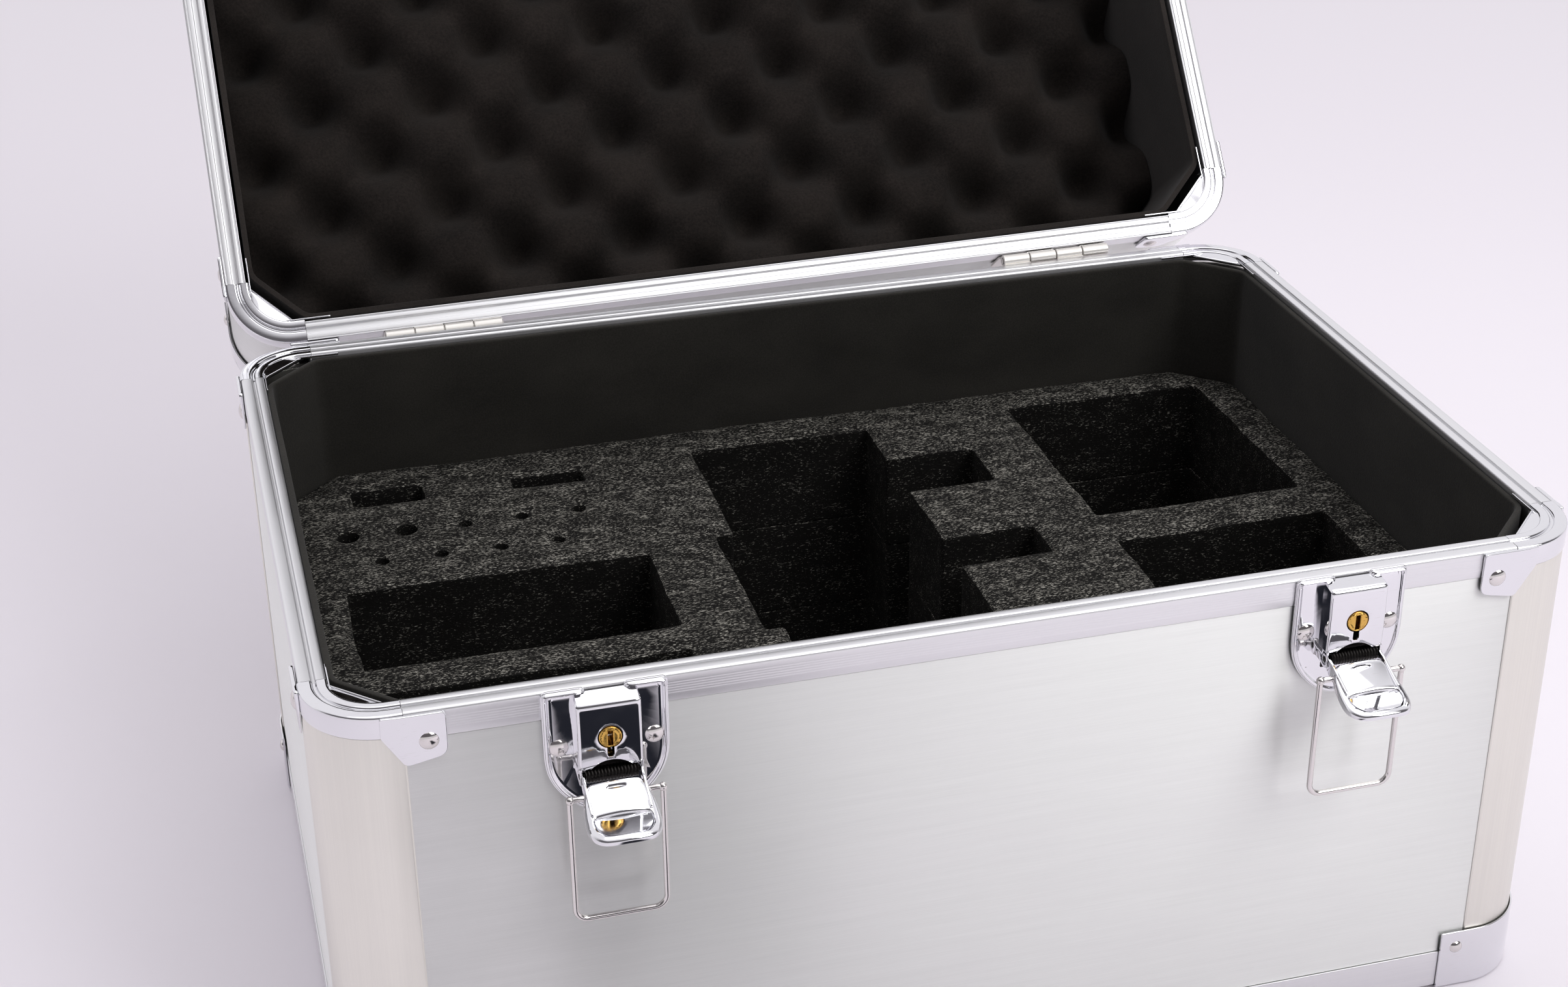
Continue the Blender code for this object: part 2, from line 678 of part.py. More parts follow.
def knuckle_span(index):
    """Start and end of one knuckle along its hinge."""
    pitch = HINGE_WIDTH / KNUCKLES
    start = -HINGE_WIDTH / 2 + index * pitch
    return start + GAP / 2, start + pitch - GAP / 2


def leaf_mesh(own, side):
    """Hinge leaf about its pin: a plate against the wall and every second knuckle.

    side is 1 for the leaf above the pin and -1 for the leaf below it.
    """
    near = PLATE_BACK - HINGE_OUT
    low, high = sorted((side * (KNUCKLE_RADIUS + 0.5), side * 16.0))
    half = HINGE_WIDTH / 2
    shape = block(-half, half, near, near + PLATE_SHEET, low, high)
    extra = []
    bores = []
    for index in own:
        start, end = knuckle_span(index)
        extra.append(rod(KNUCKLE_RADIUS, (start, 0, 0), (end, 0, 0)))
        web_low, web_high = sorted((side * 0.6, side * (KNUCKLE_RADIUS + 1.5)))
        extra.append(block(start, end, near + 0.1, near + PLATE_SHEET - 0.05, web_low, web_high))
        bores.append(rod(1.4, (start - 1, 0, 0), (end + 1, 0, 0)))
    return cut(join(shape, *extra), *bores)


def build_hinges(base, lid, axis_at, to_lid):
    """Two hinges, each with a base leaf, a lid leaf and a pin on the tilted axis."""
    tilt = Matrix.Rotation(-HINGE_TILT, 4, "Y")
    lower = leaf_mesh((0, 2), -1)
    upper = leaf_mesh((1, 3), 1)
    pin = rod(1.1, (-HINGE_WIDTH / 2 - 0.3, 0, 0), (HINGE_WIDTH / 2 + 0.3, 0, 0), 12)
    for where, side in (("left", -1), ("right", 1)):
        centre = Vector(axis_at) + Vector((side * HINGE_AT, 0, side * HINGE_AT * math.tan(HINGE_TILT)))
        parts = (("base_leaf", lower, base), ("pin", pin, base), ("lid_leaf", upper, lid))
        for part, mesh, parent in parts:
            place = centre + (Vector(to_lid) if parent is lid else Vector((0, 0, 0)))
            piece = add(f"hinge_{part}_{where}", mesh.copy(), STEEL, parent, smooth=True)
            piece.matrix_local = Matrix.Translation(place * MM) @ tilt


def shield_outline():
    """Outline of the latch plate as (across, up), with a notch in its top edge."""
    half = 19.2
    right = [(half, -24.0), (18.4, -28.5), (16.6, -32.5), (13.2, -36.5), (9.4, -40.5), (5.5, -43.5)]
    outline = [(6.0, 0.5), (6.0, -1.2), (-6.0, -1.2), (-6.0, 0.5)]
    outline += arc((-half + 2.0, -1.5), 2.0, 90, 180, 3)
    outline += [(-x, z) for x, z in right] + list(reversed(right))
    outline += arc((half - 2.0, -1.5), 2.0, 0, 90, 3)
    return outline


def latch_plate_mesh():
    """Shield plate with the lock box, its slot for the tongue and the ears for the lever's pin.

    Lengths are from the middle of the latch, the rim's inner edge and the rim's top, and
    the plate stands on the front, so outwards is towards -y.
    """
    front = PLATE_BACK + PLATE_SHEET
    shield = plate(shield_outline(), -front, -PLATE_BACK, axes="xzy")
    side = [
        (-front + 0.4, -1.0), (-BOX_OUT + 0.5, -2.4), (-BOX_OUT, -3.0), (-BOX_OUT, BOX_LOW), (-front + 0.4, BOX_LOW),
    ]
    box = plate(side, -BOX_HALF, BOX_HALF, axes="yzx")
    pivot = (-LEVER_PIVOT_OUT, -LEVER_PIVOT_DROP)
    ear = [(-front + 0.4, -24.0), (-BOX_OUT, -24.0), (-BOX_OUT, -28.0)]
    ear += arc(pivot, 2.9, 220, 300, 4)
    ear += [(-front + 0.4, -29.0)]
    ears = [plate(ear, -BOX_HALF, -BOX_HALF + 0.9, axes="yzx"), plate(ear, BOX_HALF - 0.9, BOX_HALF, axes="yzx")]
    whole = join(shield, box, *ears)
    plug_hole = rod(PLUG_RADIUS + GAP, (0, -BOX_OUT - 2, -PLUG_DROP), (0, -front - 0.6, -PLUG_DROP), 20)
    key_slot = block(-1.0, 1.0, -BOX_OUT - 1, -BOX_OUT + 2.5, -PLUG_DROP - 6.2, -PLUG_DROP - 2.0)
    tongue_slot = block(-6.0, 6.0, -12.6, -PLATE_BACK + 1.0, -9.0, 2.0)
    arch = rod(9.6, (0, -BOX_OUT - 2, -31.2), (0, -front - 0.4, -31.2), 24)
    pin_hole = rod(1.3, (-BOX_HALF - 1, *pivot), (BOX_HALF + 1, *pivot), 12)
    return cut(whole, plug_hole, key_slot, tongue_slot, arch, pin_hole)


def plug_mesh():
    """Key plug with its slot, about its own axis."""
    body = rod(PLUG_RADIUS, (0, -BOX_OUT - 0.3, 0), (0, -PLATE_BACK - PLATE_SHEET - 1.2, 0), 20)
    slot = block(-0.8, 0.8, -BOX_OUT - 1, -BOX_OUT + 2.5, -2.9, 2.2)
    return cut(body, slot)


def lever_mesh():
    """Lever about its pivot, drawn closed: it hangs down and its face looks along -y."""
    half = [(8.5, 1.2), (8.5, -3.4), (9.9, -4.8), (10.9, -15.0), (10.6, -20.5), (8.2, -24.6), (4.5, -26.0)]
    outline = half + [(-x, z) for x, z in reversed(half)]
    face = plate(outline, -1.2, 0.0, axes="xzy")
    hub = rod(2.2, (-8.5, 0, 0), (8.5, 0, 0))
    flange = [(-0.6, -5.0), (4.0, -5.4), (4.0, -10.0), (1.5, -14.5), (-0.6, -16.0)]
    left = plate(flange, -10.0, -9.1, axes="yzx")
    right = plate(flange, 9.1, 10.0, axes="yzx")
    whole = join(face, hub, left, right)
    pin_hole = rod(1.3, (-12, 0, 0), (12, 0, 0), 12)
    along, under = BAIL_FROM_PIVOT
    bail_hole = rod(1.25, (-12, -under, -along), (12, -under, -along), 12)
    return cut(whole, pin_hole, bail_hole)


def bail_mesh():
    """Wire bail about its own pivots, hanging straight down."""
    radius = 4.0
    low = -BAIL_LENGTH
    points = [(-8.6, 0.0), (-BAIL_HALF + 1.0, 0.0), (-BAIL_HALF + 0.3, -0.3), (-BAIL_HALF, -1.0)]
    points += arc((-BAIL_HALF + radius, low + radius), radius, 180, 270, 4)
    points += arc((BAIL_HALF - radius, low + radius), radius, 270, 360, 4)
    points += [(BAIL_HALF, -1.0), (BAIL_HALF - 0.3, -0.3), (BAIL_HALF - 1.0, 0.0), (8.6, 0.0)]
    return tube_along([(x, 0.0, z) for x, z in points], BAIL_WIRE)


def keeper_mesh():
    """Keeper on the lid: plate, hook for the bail and tongue for the slot."""
    back, front = -PLATE_BACK, -PLATE_BACK - 1.2
    body = block(-13.0, 13.0, front, back, 2.2, 16.0)
    tongue = block(-5.2, 5.2, front + 0.1, back - 0.2, -5.5, 3.0)
    ledge = block(-9.0, 9.0, -15.1, front + 0.2, 5.6, 7.4)
    lip = block(-9.0, 9.0, -15.1, -13.9, 5.7, 9.6)
    return join(body, tongue, ledge, lip)


def build_latches(base, lid, to_lid):
    """Two latches on the base with their keepers on the lid."""
    plate_shape = latch_plate_mesh()
    plug = plug_mesh()
    lever = lever_mesh()
    bail = bail_mesh()
    keeper = keeper_mesh()
    pin = rod(1.0, (-BOX_HALF, 0, 0), (BOX_HALF, 0, 0), 12)
    along, under = BAIL_FROM_PIVOT
    for where, side in (("left", -1), ("right", 1)):
        middle = side * LATCH_AT
        front = Vector((middle, FRONT, RIM_TOP))
        add(f"latch_plate_{where}", plate_shape.copy(), CHROME, base, front, smooth=True)
        plug_at = empty(f"latch_plug_axis_{where}", front + Vector((0, 0, -PLUG_DROP)), base)
        add(f"latch_plug_{where}", plug.copy(), BRASS, plug_at, smooth=True)
        pivot = front + Vector((0, -LEVER_PIVOT_OUT, -LEVER_PIVOT_DROP))
        add(f"latch_lever_pin_{where}", pin.copy(), STEEL, base, pivot, smooth=True)
        opened = Matrix.Rotation(-LEVER_OPEN, 4, "X")
        lever_at = empty(f"latch_lever_axis_{where}", pivot, base, opened)
        add(f"latch_lever_{where}", lever.copy(), CHROME, lever_at, smooth=True)
        hanging = Matrix.Rotation(LEVER_OPEN, 4, "X")
        bail_at = empty(f"latch_bail_axis_{where}", (0, -under, -along), lever_at, hanging)
        add(f"latch_bail_{where}", bail.copy(), STEEL, bail_at, smooth=True)
        keeper_at = front + Vector(to_lid)
        add(f"lid_keeper_{where}", keeper.copy(), CHROME, lid, keeper_at)


def bracket_mesh():
    """Handle bracket: a foot on the lid with one lug, about the handle's axis."""
    foot_low = -HANDLE_LIFT
    foot = plate(round_rectangle(13.0, 15.0, 3.0, 3), foot_low, foot_low + 1.6)
    lug_side = [(-6.0, foot_low + 0.5)] + [(6.0, foot_low + 0.5)] + arc((0, 0), 5.5, 0, 180, 8)
    lug = plate(lug_side, -2.5, 2.5, axes="yzx")
    return cut(join(foot, lug), rod(2.8, (-5, 0, 0), (5, 0, 0)))


def build_handle(lid, to_lid):
    """Handle on the lid: two brackets, a bent steel frame and a plastic grip."""
    top = RIM_TOP + PARTING_GAP + LID_BOARD_TOP + GAP
    axis_at = Vector(to_lid) + Vector((0, 0, top + HANDLE_LIFT))
    bracket = bracket_mesh()
    for where, side in (("left", -1), ("right", 1)):
        at = axis_at + Vector((side * (HANDLE_HALF + 7.0), 0, 0))
        add(f"handle_bracket_{where}", bracket.copy(), CHROME, lid, at, smooth=True)
    hanging = Matrix.Rotation(HANG_ANGLE, 4, "X")
    handle = empty("handle_axis", axis_at, lid, hanging)
    end = HANDLE_HALF + 10.5
    bend = 8.0
    points = [(-end, 0.0), (-HANDLE_HALF - 1.0, 0.0), (-HANDLE_HALF, 1.0)]
    points += arc((-HANDLE_HALF + bend, HANDLE_REACH - bend), bend, 180, 90, 4)
    points += arc((HANDLE_HALF - bend, HANDLE_REACH - bend), bend, 90, 0, 4)
    points += [(HANDLE_HALF, 1.0), (HANDLE_HALF + 1.0, 0.0), (end, 0.0)]
    frame = tube_along([(x, 0.0, z) for x, z in points], 2.4, 12)
    add("handle_frame", frame, STEEL, handle, smooth=True)
    half = HANDLE_HALF - bend - 2.0
    sleeve = rod(GRIP_RADIUS, (-half, 0, HANDLE_REACH), (half, 0, HANDLE_REACH), 20)
    bore = rod(2.8, (-half - 5, 0, HANDLE_REACH), (half + 5, 0, HANDLE_REACH))
    add("handle_grip", cut(sleeve, bore), PLASTIC, handle, smooth=True)


def centre_on_origin(root):
    """Move the whole case so that the middle of its box's underside is the origin."""
    bpy.context.view_layer.update()
    lows = []
    highs = []
    for thing in bpy.context.collection.objects:
        if thing.type != "MESH":
            continue
        corners = [thing.matrix_world @ vert.co for vert in thing.data.vertices]
        lows.append([min(corner[axis] for corner in corners) for axis in range(3)])
        highs.append([max(corner[axis] for corner in corners) for axis in range(3)])
    low = [min(values) for values in zip(*lows)]
    high = [max(values) for values in zip(*highs)]
    root.location = (-(low[0] + high[0]) / 2, -(low[1] + high[1]) / 2, -low[2])
    bpy.context.view_layer.update()


def build_case():
    """Build the whole case with its lid open."""
    clear_scene()
    root = empty("case", (0, 0, 0))
    axis_at = Vector((0.0, HALF_Y + HINGE_OUT, RIM_TOP - HINGE_DROP))
    axis = Vector((math.cos(HINGE_TILT), 0.0, math.sin(HINGE_TILT)))
    lid = empty("lid_axis", axis_at, root, Matrix.Rotation(-OPEN_ANGLE, 4, axis))
    to_lid = -axis_at
    build_base_shell(root)
    build_base_inside(root)
    corner, cap = build_base_corners(root)
    build_lid(lid, to_lid, corner, cap)
    build_hinges(root, lid, axis_at, to_lid)
    build_latches(root, lid, to_lid)
    build_handle(lid, to_lid)
    centre_on_origin(root)


build_case()
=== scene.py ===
"""Looks of an aluminium-framed microphone case that stands with its lid open.

Lengths are in millimetres: x runs left to right, y from the front to the back and z upwards.
A cross-section is a list of (out, up) points, where out is the distance outwards from the inner
edge of the rim and up is the height above the plane where the base and the lid meet.
"""

import logging
import math
from collections.abc import Callable, Sequence
from dataclasses import dataclass
from enum import Enum

import bmesh
import bpy
import numpy as np
from mathutils import Matrix, Vector, geometry


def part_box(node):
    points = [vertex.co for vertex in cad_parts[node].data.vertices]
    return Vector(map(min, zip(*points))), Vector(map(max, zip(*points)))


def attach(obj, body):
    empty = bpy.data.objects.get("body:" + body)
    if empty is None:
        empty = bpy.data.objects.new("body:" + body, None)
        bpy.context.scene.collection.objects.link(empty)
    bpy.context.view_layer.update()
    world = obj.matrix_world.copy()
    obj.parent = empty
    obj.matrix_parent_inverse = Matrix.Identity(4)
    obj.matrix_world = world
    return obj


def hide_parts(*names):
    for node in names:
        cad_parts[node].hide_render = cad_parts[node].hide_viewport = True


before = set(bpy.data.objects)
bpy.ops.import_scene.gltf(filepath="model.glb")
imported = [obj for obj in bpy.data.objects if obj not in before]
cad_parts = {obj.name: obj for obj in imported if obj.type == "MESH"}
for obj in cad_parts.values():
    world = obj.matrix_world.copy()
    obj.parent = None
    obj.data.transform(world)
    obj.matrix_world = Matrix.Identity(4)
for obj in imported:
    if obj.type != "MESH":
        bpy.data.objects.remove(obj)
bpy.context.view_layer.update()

LOG = logging.getLogger("case")
MM = 0.001
# Points that fall in one cell of a fine grid, in mm, are one point of the mesh
MERGE_CELL = 0.002
MERGE_START = 0.137
Array = np.ndarray
Field = Callable[[Array], Array]
Tree = bpy.types.NodeTree
Node = bpy.types.Node
Socket = bpy.types.NodeSocket
CORNERS = {
    "front_left": (-1, -1), "front_right": (1, -1), "back_left": (-1, 1), "back_right": (1, 1),
}
SIDES = {"left": -1, "right": 1}


# Surfaces


@dataclass
class Surface:
    """Points in millimetres, faces of four point numbers, and each face corner's place on a flat map.

    A triangle has its last number twice.
    """

    points: Array
    faces: Array
    flat: Array

    def placed(self, matrix: Matrix) -> "Surface":
        """The surface carried by a matrix."""
        turn = np.array(matrix)
        return Surface(self.points @ turn[:3, :3].T + turn[:3, 3], self.faces, self.flat)

    def moved(self, field: Field) -> "Surface":
        """The surface with every point moved by what the field gives for it."""
        return Surface(self.points + field(self.points), self.faces, self.flat)

    def swapped(self) -> "Surface":
        """The surface with the two ways of its flat map exchanged."""
        return Surface(self.points, self.faces, self.flat[:, :, ::-1])


def joined(*parts: Surface) -> Surface:
    """Several surfaces as one.

    Args:
        parts: The surfaces.
    Returns:
        All their points and faces, with the faces' point numbers counted on.
    """
    starts = np.cumsum([0] + [len(part.points) for part in parts[:-1]])
    return Surface(
        np.concatenate([part.points for part in parts]),
        np.concatenate([part.faces + start for part, start in zip(parts, starts)]),
        np.concatenate([part.flat for part in parts]),
    )


def patch(rows: Array) -> Surface:
    """Surface through a grid of points, whose flat map is the mean length along each way.

    Args:
        rows: The grid (count, count, 3).
    Returns:
        The surface, with one face for each cell.
    """
    steps = [np.linalg.norm(np.diff(rows, axis=axis), axis=2).mean(axis=1 - axis) for axis in (0, 1)]
    along, across = (np.concatenate([[0.0], np.cumsum(step)]) for step in steps)
    flat = np.stack(np.meshgrid(along, across, indexing="ij"), axis=-1).reshape(-1, 2)
    number = np.arange(rows.shape[0] * rows.shape[1]).reshape(rows.shape[:2])
    faces = np.stack([number[:-1, :-1], number[1:, :-1], number[1:, 1:], number[:-1, 1:]], axis=-1)
    faces = faces.reshape(-1, 4)
    return Surface(rows.reshape(-1, 3), faces, flat[faces])


def ringed(wall: Array) -> Surface:
    """Surface through stacked closed lines (rows, count, 3)."""
    return patch(np.concatenate([wall, wall[:, :1]], axis=1))


def mesh_of(name: str, surface: Surface) -> bpy.types.Mesh:
    """Closed mesh in metres: points at one place are merged, and faces are turned outwards.

    Args:
        name: The mesh's name.
        surface: Its shape in millimetres.
    Returns:
        The mesh, with the flat map as its UV map.
    """
    keys = np.round(surface.points / MERGE_CELL + MERGE_START).astype(np.int64)
    _, first, number = np.unique(keys, axis=0, return_index=True, return_inverse=True)
    corners = number.reshape(-1)[surface.faces]
    kept = corners != np.roll(corners, -1, axis=1)
    whole = kept.sum(axis=1) >= 3
    corners, kept, flat = corners[whole], kept[whole], surface.flat[whole]
    starts = np.concatenate([[0], np.cumsum(kept.sum(axis=1))[:-1]])
    mesh = bpy.data.meshes.new(name)
    mesh.vertices.add(len(first))
    mesh.vertices.foreach_set("co", (surface.points[first] * MM).ravel().astype(np.float32))
    mesh.loops.add(int(kept.sum()))
    mesh.loops.foreach_set("vertex_index", corners[kept].astype(np.int32))
    mesh.polygons.add(len(starts))
    mesh.polygons.foreach_set("loop_start", starts.astype(np.int32))
    layer = mesh.uv_layers.new(name="UVMap")
    layer.data.foreach_set("uv", flat[kept].ravel().astype(np.float32))
    mesh.update()
    mesh.validate()
    bm = bmesh.new()
    bm.from_mesh(mesh)
    bmesh.ops.recalc_face_normals(bm, faces=bm.faces)
    bm.to_mesh(mesh)
    bm.free()
    return mesh


# Outlines


def arc(centre: Sequence[float], radius: float, start: float, end: float, steps: int) -> Array:
    """Points of centre + radius (cos a, sin a) for angles from start to end, in degrees."""
    angle = np.radians(np.linspace(start, end, steps + 1))
    return np.stack([centre[0] + radius * np.cos(angle), centre[1] + radius * np.sin(angle)], axis=1)


def rounded_box(half_x: float, half_y: float, radius: float, steps: int = 14) -> Array:
    """Rectangle about the middle with round corners, anticlockwise.

    Args:
        half_x: Half of its width.
        half_y: Half of its depth.
        radius: Radius of its corners.
        steps: Edges round each corner.
    Returns:
        Closed line (count, 2).
    """
    parts = []
    for index, (sx, sy) in enumerate(((1, 1), (-1, 1), (-1, -1), (1, -1))):
        centre = (sx * (half_x - radius), sy * (half_y - radius))
        parts.append(arc(centre, radius, 90 * index, 90 * index + 90, steps))
    return np.concatenate(parts)


def box_line(x0: float, x1: float, y0: float, y1: float) -> Array:
    """Upright rectangle, anticlockwise."""
    return np.array([(x0, y0), (x1, y0), (x1, y1), (x0, y1)], float)


def cut_box(half_x: float, half_y: float, leg: float) -> Array:
    """Rectangle about the middle with its corners cut off at 45 degrees, anticlockwise.

    Args:
        half_x: Half of its width.
        half_y: Half of its depth.
        leg: What each cut takes off both sides.
    Returns:
        Closed line of eight points.
    """
    return np.array([
        (half_x, half_y - leg), (half_x - leg, half_y), (leg - half_x, half_y),
        (-half_x, half_y - leg), (-half_x, leg - half_y), (leg - half_x, -half_y),
        (half_x - leg, -half_y), (half_x, leg - half_y),
    ], float)


def softened(corners: Sequence, cuts: float | Sequence[float], steps: int = 4) -> Array:
    """Closed line whose corners are rounded off.

    Each corner p becomes (1-s)^2 a + 2 s (1-s) p + s^2 b, where a and b lie one cut away from p
    on its two edges.

    Args:
        corners: The line's corners.
        cuts: One cut for all corners, or one for each.
        steps: Edges round each corner.
    Returns:
        Closed line (count, 2).
    """
    line = np.asarray(corners, float)
    back = np.roll(line, 1, axis=0) - line
    ahead = np.roll(line, -1, axis=0) - line
    lengths = np.linalg.norm(back, axis=1), np.linalg.norm(ahead, axis=1)
    cut = np.minimum(np.broadcast_to(cuts, len(line)), 0.48 * np.minimum(*lengths))
    start = line + back / lengths[0][:, None] * cut[:, None]
    end = line + ahead / lengths[1][:, None] * cut[:, None]
    s = np.linspace(0, 1, steps + 1)[None, :, None]
    curve = (1 - s) ** 2 * start[:, None] + 2 * s * (1 - s) * line[:, None] + s**2 * end[:, None]
    curve = curve.reshape(-1, 2)
    return curve[np.linalg.norm(curve - np.roll(curve, 1, axis=0), axis=1) > 1e-4]


def stepped(loop: Array, step: float) -> Array:
    """A closed line with points added so that no edge is longer than the step.

    Args:
        loop: The line (count, 2).
        step: The longest edge.
    Returns:
        The longer list of points.
    """
    ends = np.roll(loop, -1, axis=0)
    parts = []
    for start, end in zip(loop, ends):
        count = max(1, math.ceil(np.linalg.norm(end - start) / step))
        parts.append(start + (end - start) * (np.arange(count) / count)[:, None])
    return np.concatenate(parts)


def flipped(line: Sequence[tuple[float, float]]) -> list[tuple[float, float]]:
    """The points of a line mirrored across x = 0, in the other order."""
    return [(-x, y) for x, y in reversed(line)]


def anticlockwise(loop: Array) -> Array:
    """The closed line turned so that it runs anticlockwise, by the sign of its area."""
    x, y = loop.T
    return loop if (x * np.roll(y, -1) - np.roll(x, -1) * y).sum() > 0 else loop[::-1]


def outwards(line: Array, closed: bool) -> Array:
    """For each point, the way that moves both of its edges one unit to the right of travel.

    With unit normals m and n of the two edges it is (m + n) / (1 + m n), and no longer than at a
    sharp corner.

    Args:
        line: The line (count, 2).
        closed: Whether its end joins its start.
    Returns:
        One way (count, 2) for each point.
    """
    ahead = np.roll(line, -1, axis=0) - line
    if not closed:
        ahead[-1] = ahead[-2]
    behind = np.roll(ahead, 1, axis=0)
    if not closed:
        behind[0] = ahead[0]
    first, second = (
        np.stack([way[:, 1], -way[:, 0]], axis=1) / np.linalg.norm(way, axis=1)[:, None]
        for way in (behind, ahead)
    )
    share = 1.0 + (first * second).sum(axis=1)
    return (first + second) / np.maximum(share, 0.35)[:, None]


def within(points: Array, loops: Sequence[Array]) -> Array:
    """True for each point that has an odd number of the loops' edges to its right.

    Args:
        points: Places (count, 2).
        loops: Closed lines.
    Returns:
        One truth value for each point.
    """
    start = np.concatenate(loops)
    end = np.concatenate([np.roll(loop, -1, axis=0) for loop in loops])
    rise = np.where(end[:, 1] == start[:, 1], 1.0, end[:, 1] - start[:, 1])
    found = np.zeros(len(points), bool)
    for some in np.array_split(np.arange(len(points)), 1 + len(points) * len(start) // 4_000_000):
        x, y = points[some, 0][:, None], points[some, 1][:, None]
        spans = (start[:, 1] > y) != (end[:, 1] > y)
        crossing = start[:, 0] + (y - start[:, 1]) * (end[:, 0] - start[:, 0]) / rise
        found[some] = (spans & (x < crossing)).sum(axis=1) % 2 == 1
    return found


def border_distance(points: Array, loops: Sequence[Array]) -> Array:
    """Distance from each point to the nearest edge of the loops.

    Args:
        points: Places (count, 2).
        loops: Closed lines.
    Returns:
        One distance for each point.
    """
    start = np.concatenate(loops)
    run = np.concatenate([np.roll(loop, -1, axis=0) for loop in loops]) - start
    size = np.maximum((run**2).sum(axis=1), 1e-12)
    found = np.zeros(len(points))
    for some in np.array_split(np.arange(len(points)), 1 + len(points) * len(start) // 3_000_000):
        offset = points[some][:, None, :] - start
        share = np.clip((offset * run).sum(axis=2) / size, 0, 1)
        gap = offset - share[:, :, None] * run
        found[some] = np.sqrt((gap**2).sum(axis=2).min(axis=1))
    return found


def filled(loops: Sequence[Array], extra: Array | None = None) -> tuple[Array, Array]:
    """Delaunay triangles over an outline, less its holes, that keep every edge.

    Args:
        loops: The outline and its holes.
        extra: Points inside, if the fill is to bend.
    Returns:
        The points (count, 2) and the triangles (count, 3).
    """
    points = np.concatenate([*loops, extra] if extra is not None else loops)
    edges = []
    for loop in loops:
        numbers = np.arange(len(loop)) + sum(len(pair) for pair in edges)
        edges.append(np.stack([numbers, np.roll(numbers, -1)], axis=1))
    found = geometry.delaunay_2d_cdt(
        [Vector(point) for point in points], np.concatenate(edges).tolist(), [], 0, 1e-6,
    )
    places = np.array([point[:] for point in found[0]])
    triangles = np.array(found[2])
    return places, triangles[within(places[triangles].mean(axis=1), loops)]


def lattice_noise(points: Array, cell: float, seed: int) -> Array:
    """Smooth noise from -1 to 1: random values at cube corners, blended with 3t^2 - 2t^3.

    Args:
        points: Places (count, 3).
        cell: Edge of the cubes.
        seed: Number that picks the random values, which come from the cubes' own numbers.
    Returns:
        One value for each point.
    """
    spot = points / cell
    base = np.floor(spot).astype(np.int64)
    part = spot - base
    part = part * part * (3 - 2 * part)
    total = np.zeros(len(points))
    for corner in np.ndindex(2, 2, 2):
        x, y, z = (base + np.array(corner)).T
        mixed = x * 73856093 ^ y * 19349663 ^ z * 83492791 ^ seed * 40503
        mixed = (mixed ^ (mixed >> 13)) * 1274126177
        mixed ^= mixed >> 16
        weight = np.where(np.array(corner) == 1, part, 1 - part).prod(axis=1)
        total += ((mixed & 0xFFFF) / 32767.5 - 1.0) * weight
    return total


# Solids


def capped(walls: Sequence[Array], low: Field, high: Field, fill: float = 0.0) -> Surface:
    """Solid between stacked closed lines, closed by Delaunay fills below and above.

    Args:
        walls: For the outline and each hole, its lines from the underside up (rows, count, 3).
        low: Level of the underside at (count, 2) points.
        high: Level of the face at (count, 2) points.
        fill: Distance between points inside the fills, or 0 for none.
    Returns:
        The solid, with plan places as its flat map, and lengths around and up its walls.
    """
    parts = [ringed(wall).swapped() for wall in walls]
    for index, level in ((0, low), (-1, high)):
        loops = [wall[index, :, :2] for wall in walls]
        parts.append(lid_over(loops, level, fill))
    return joined(*parts)


def lid_over(loops: Sequence[Array], level: Field, fill: float) -> Surface:
    """Delaunay fill of closed lines.

    Args:
        loops: The outline and its holes.
        level: Height of the fill at (count, 2) points.
        fill: Distance between points inside, or 0 for none.
    Returns:
        The fill, with plan places as its flat map.
    """
    places, triangles = filled(loops, spread_points(loops, fill) if fill > 0 else None)
    faces = np.column_stack([triangles, triangles[:, 2]])
    return Surface(np.column_stack([places, level(places)]), faces, places[faces])


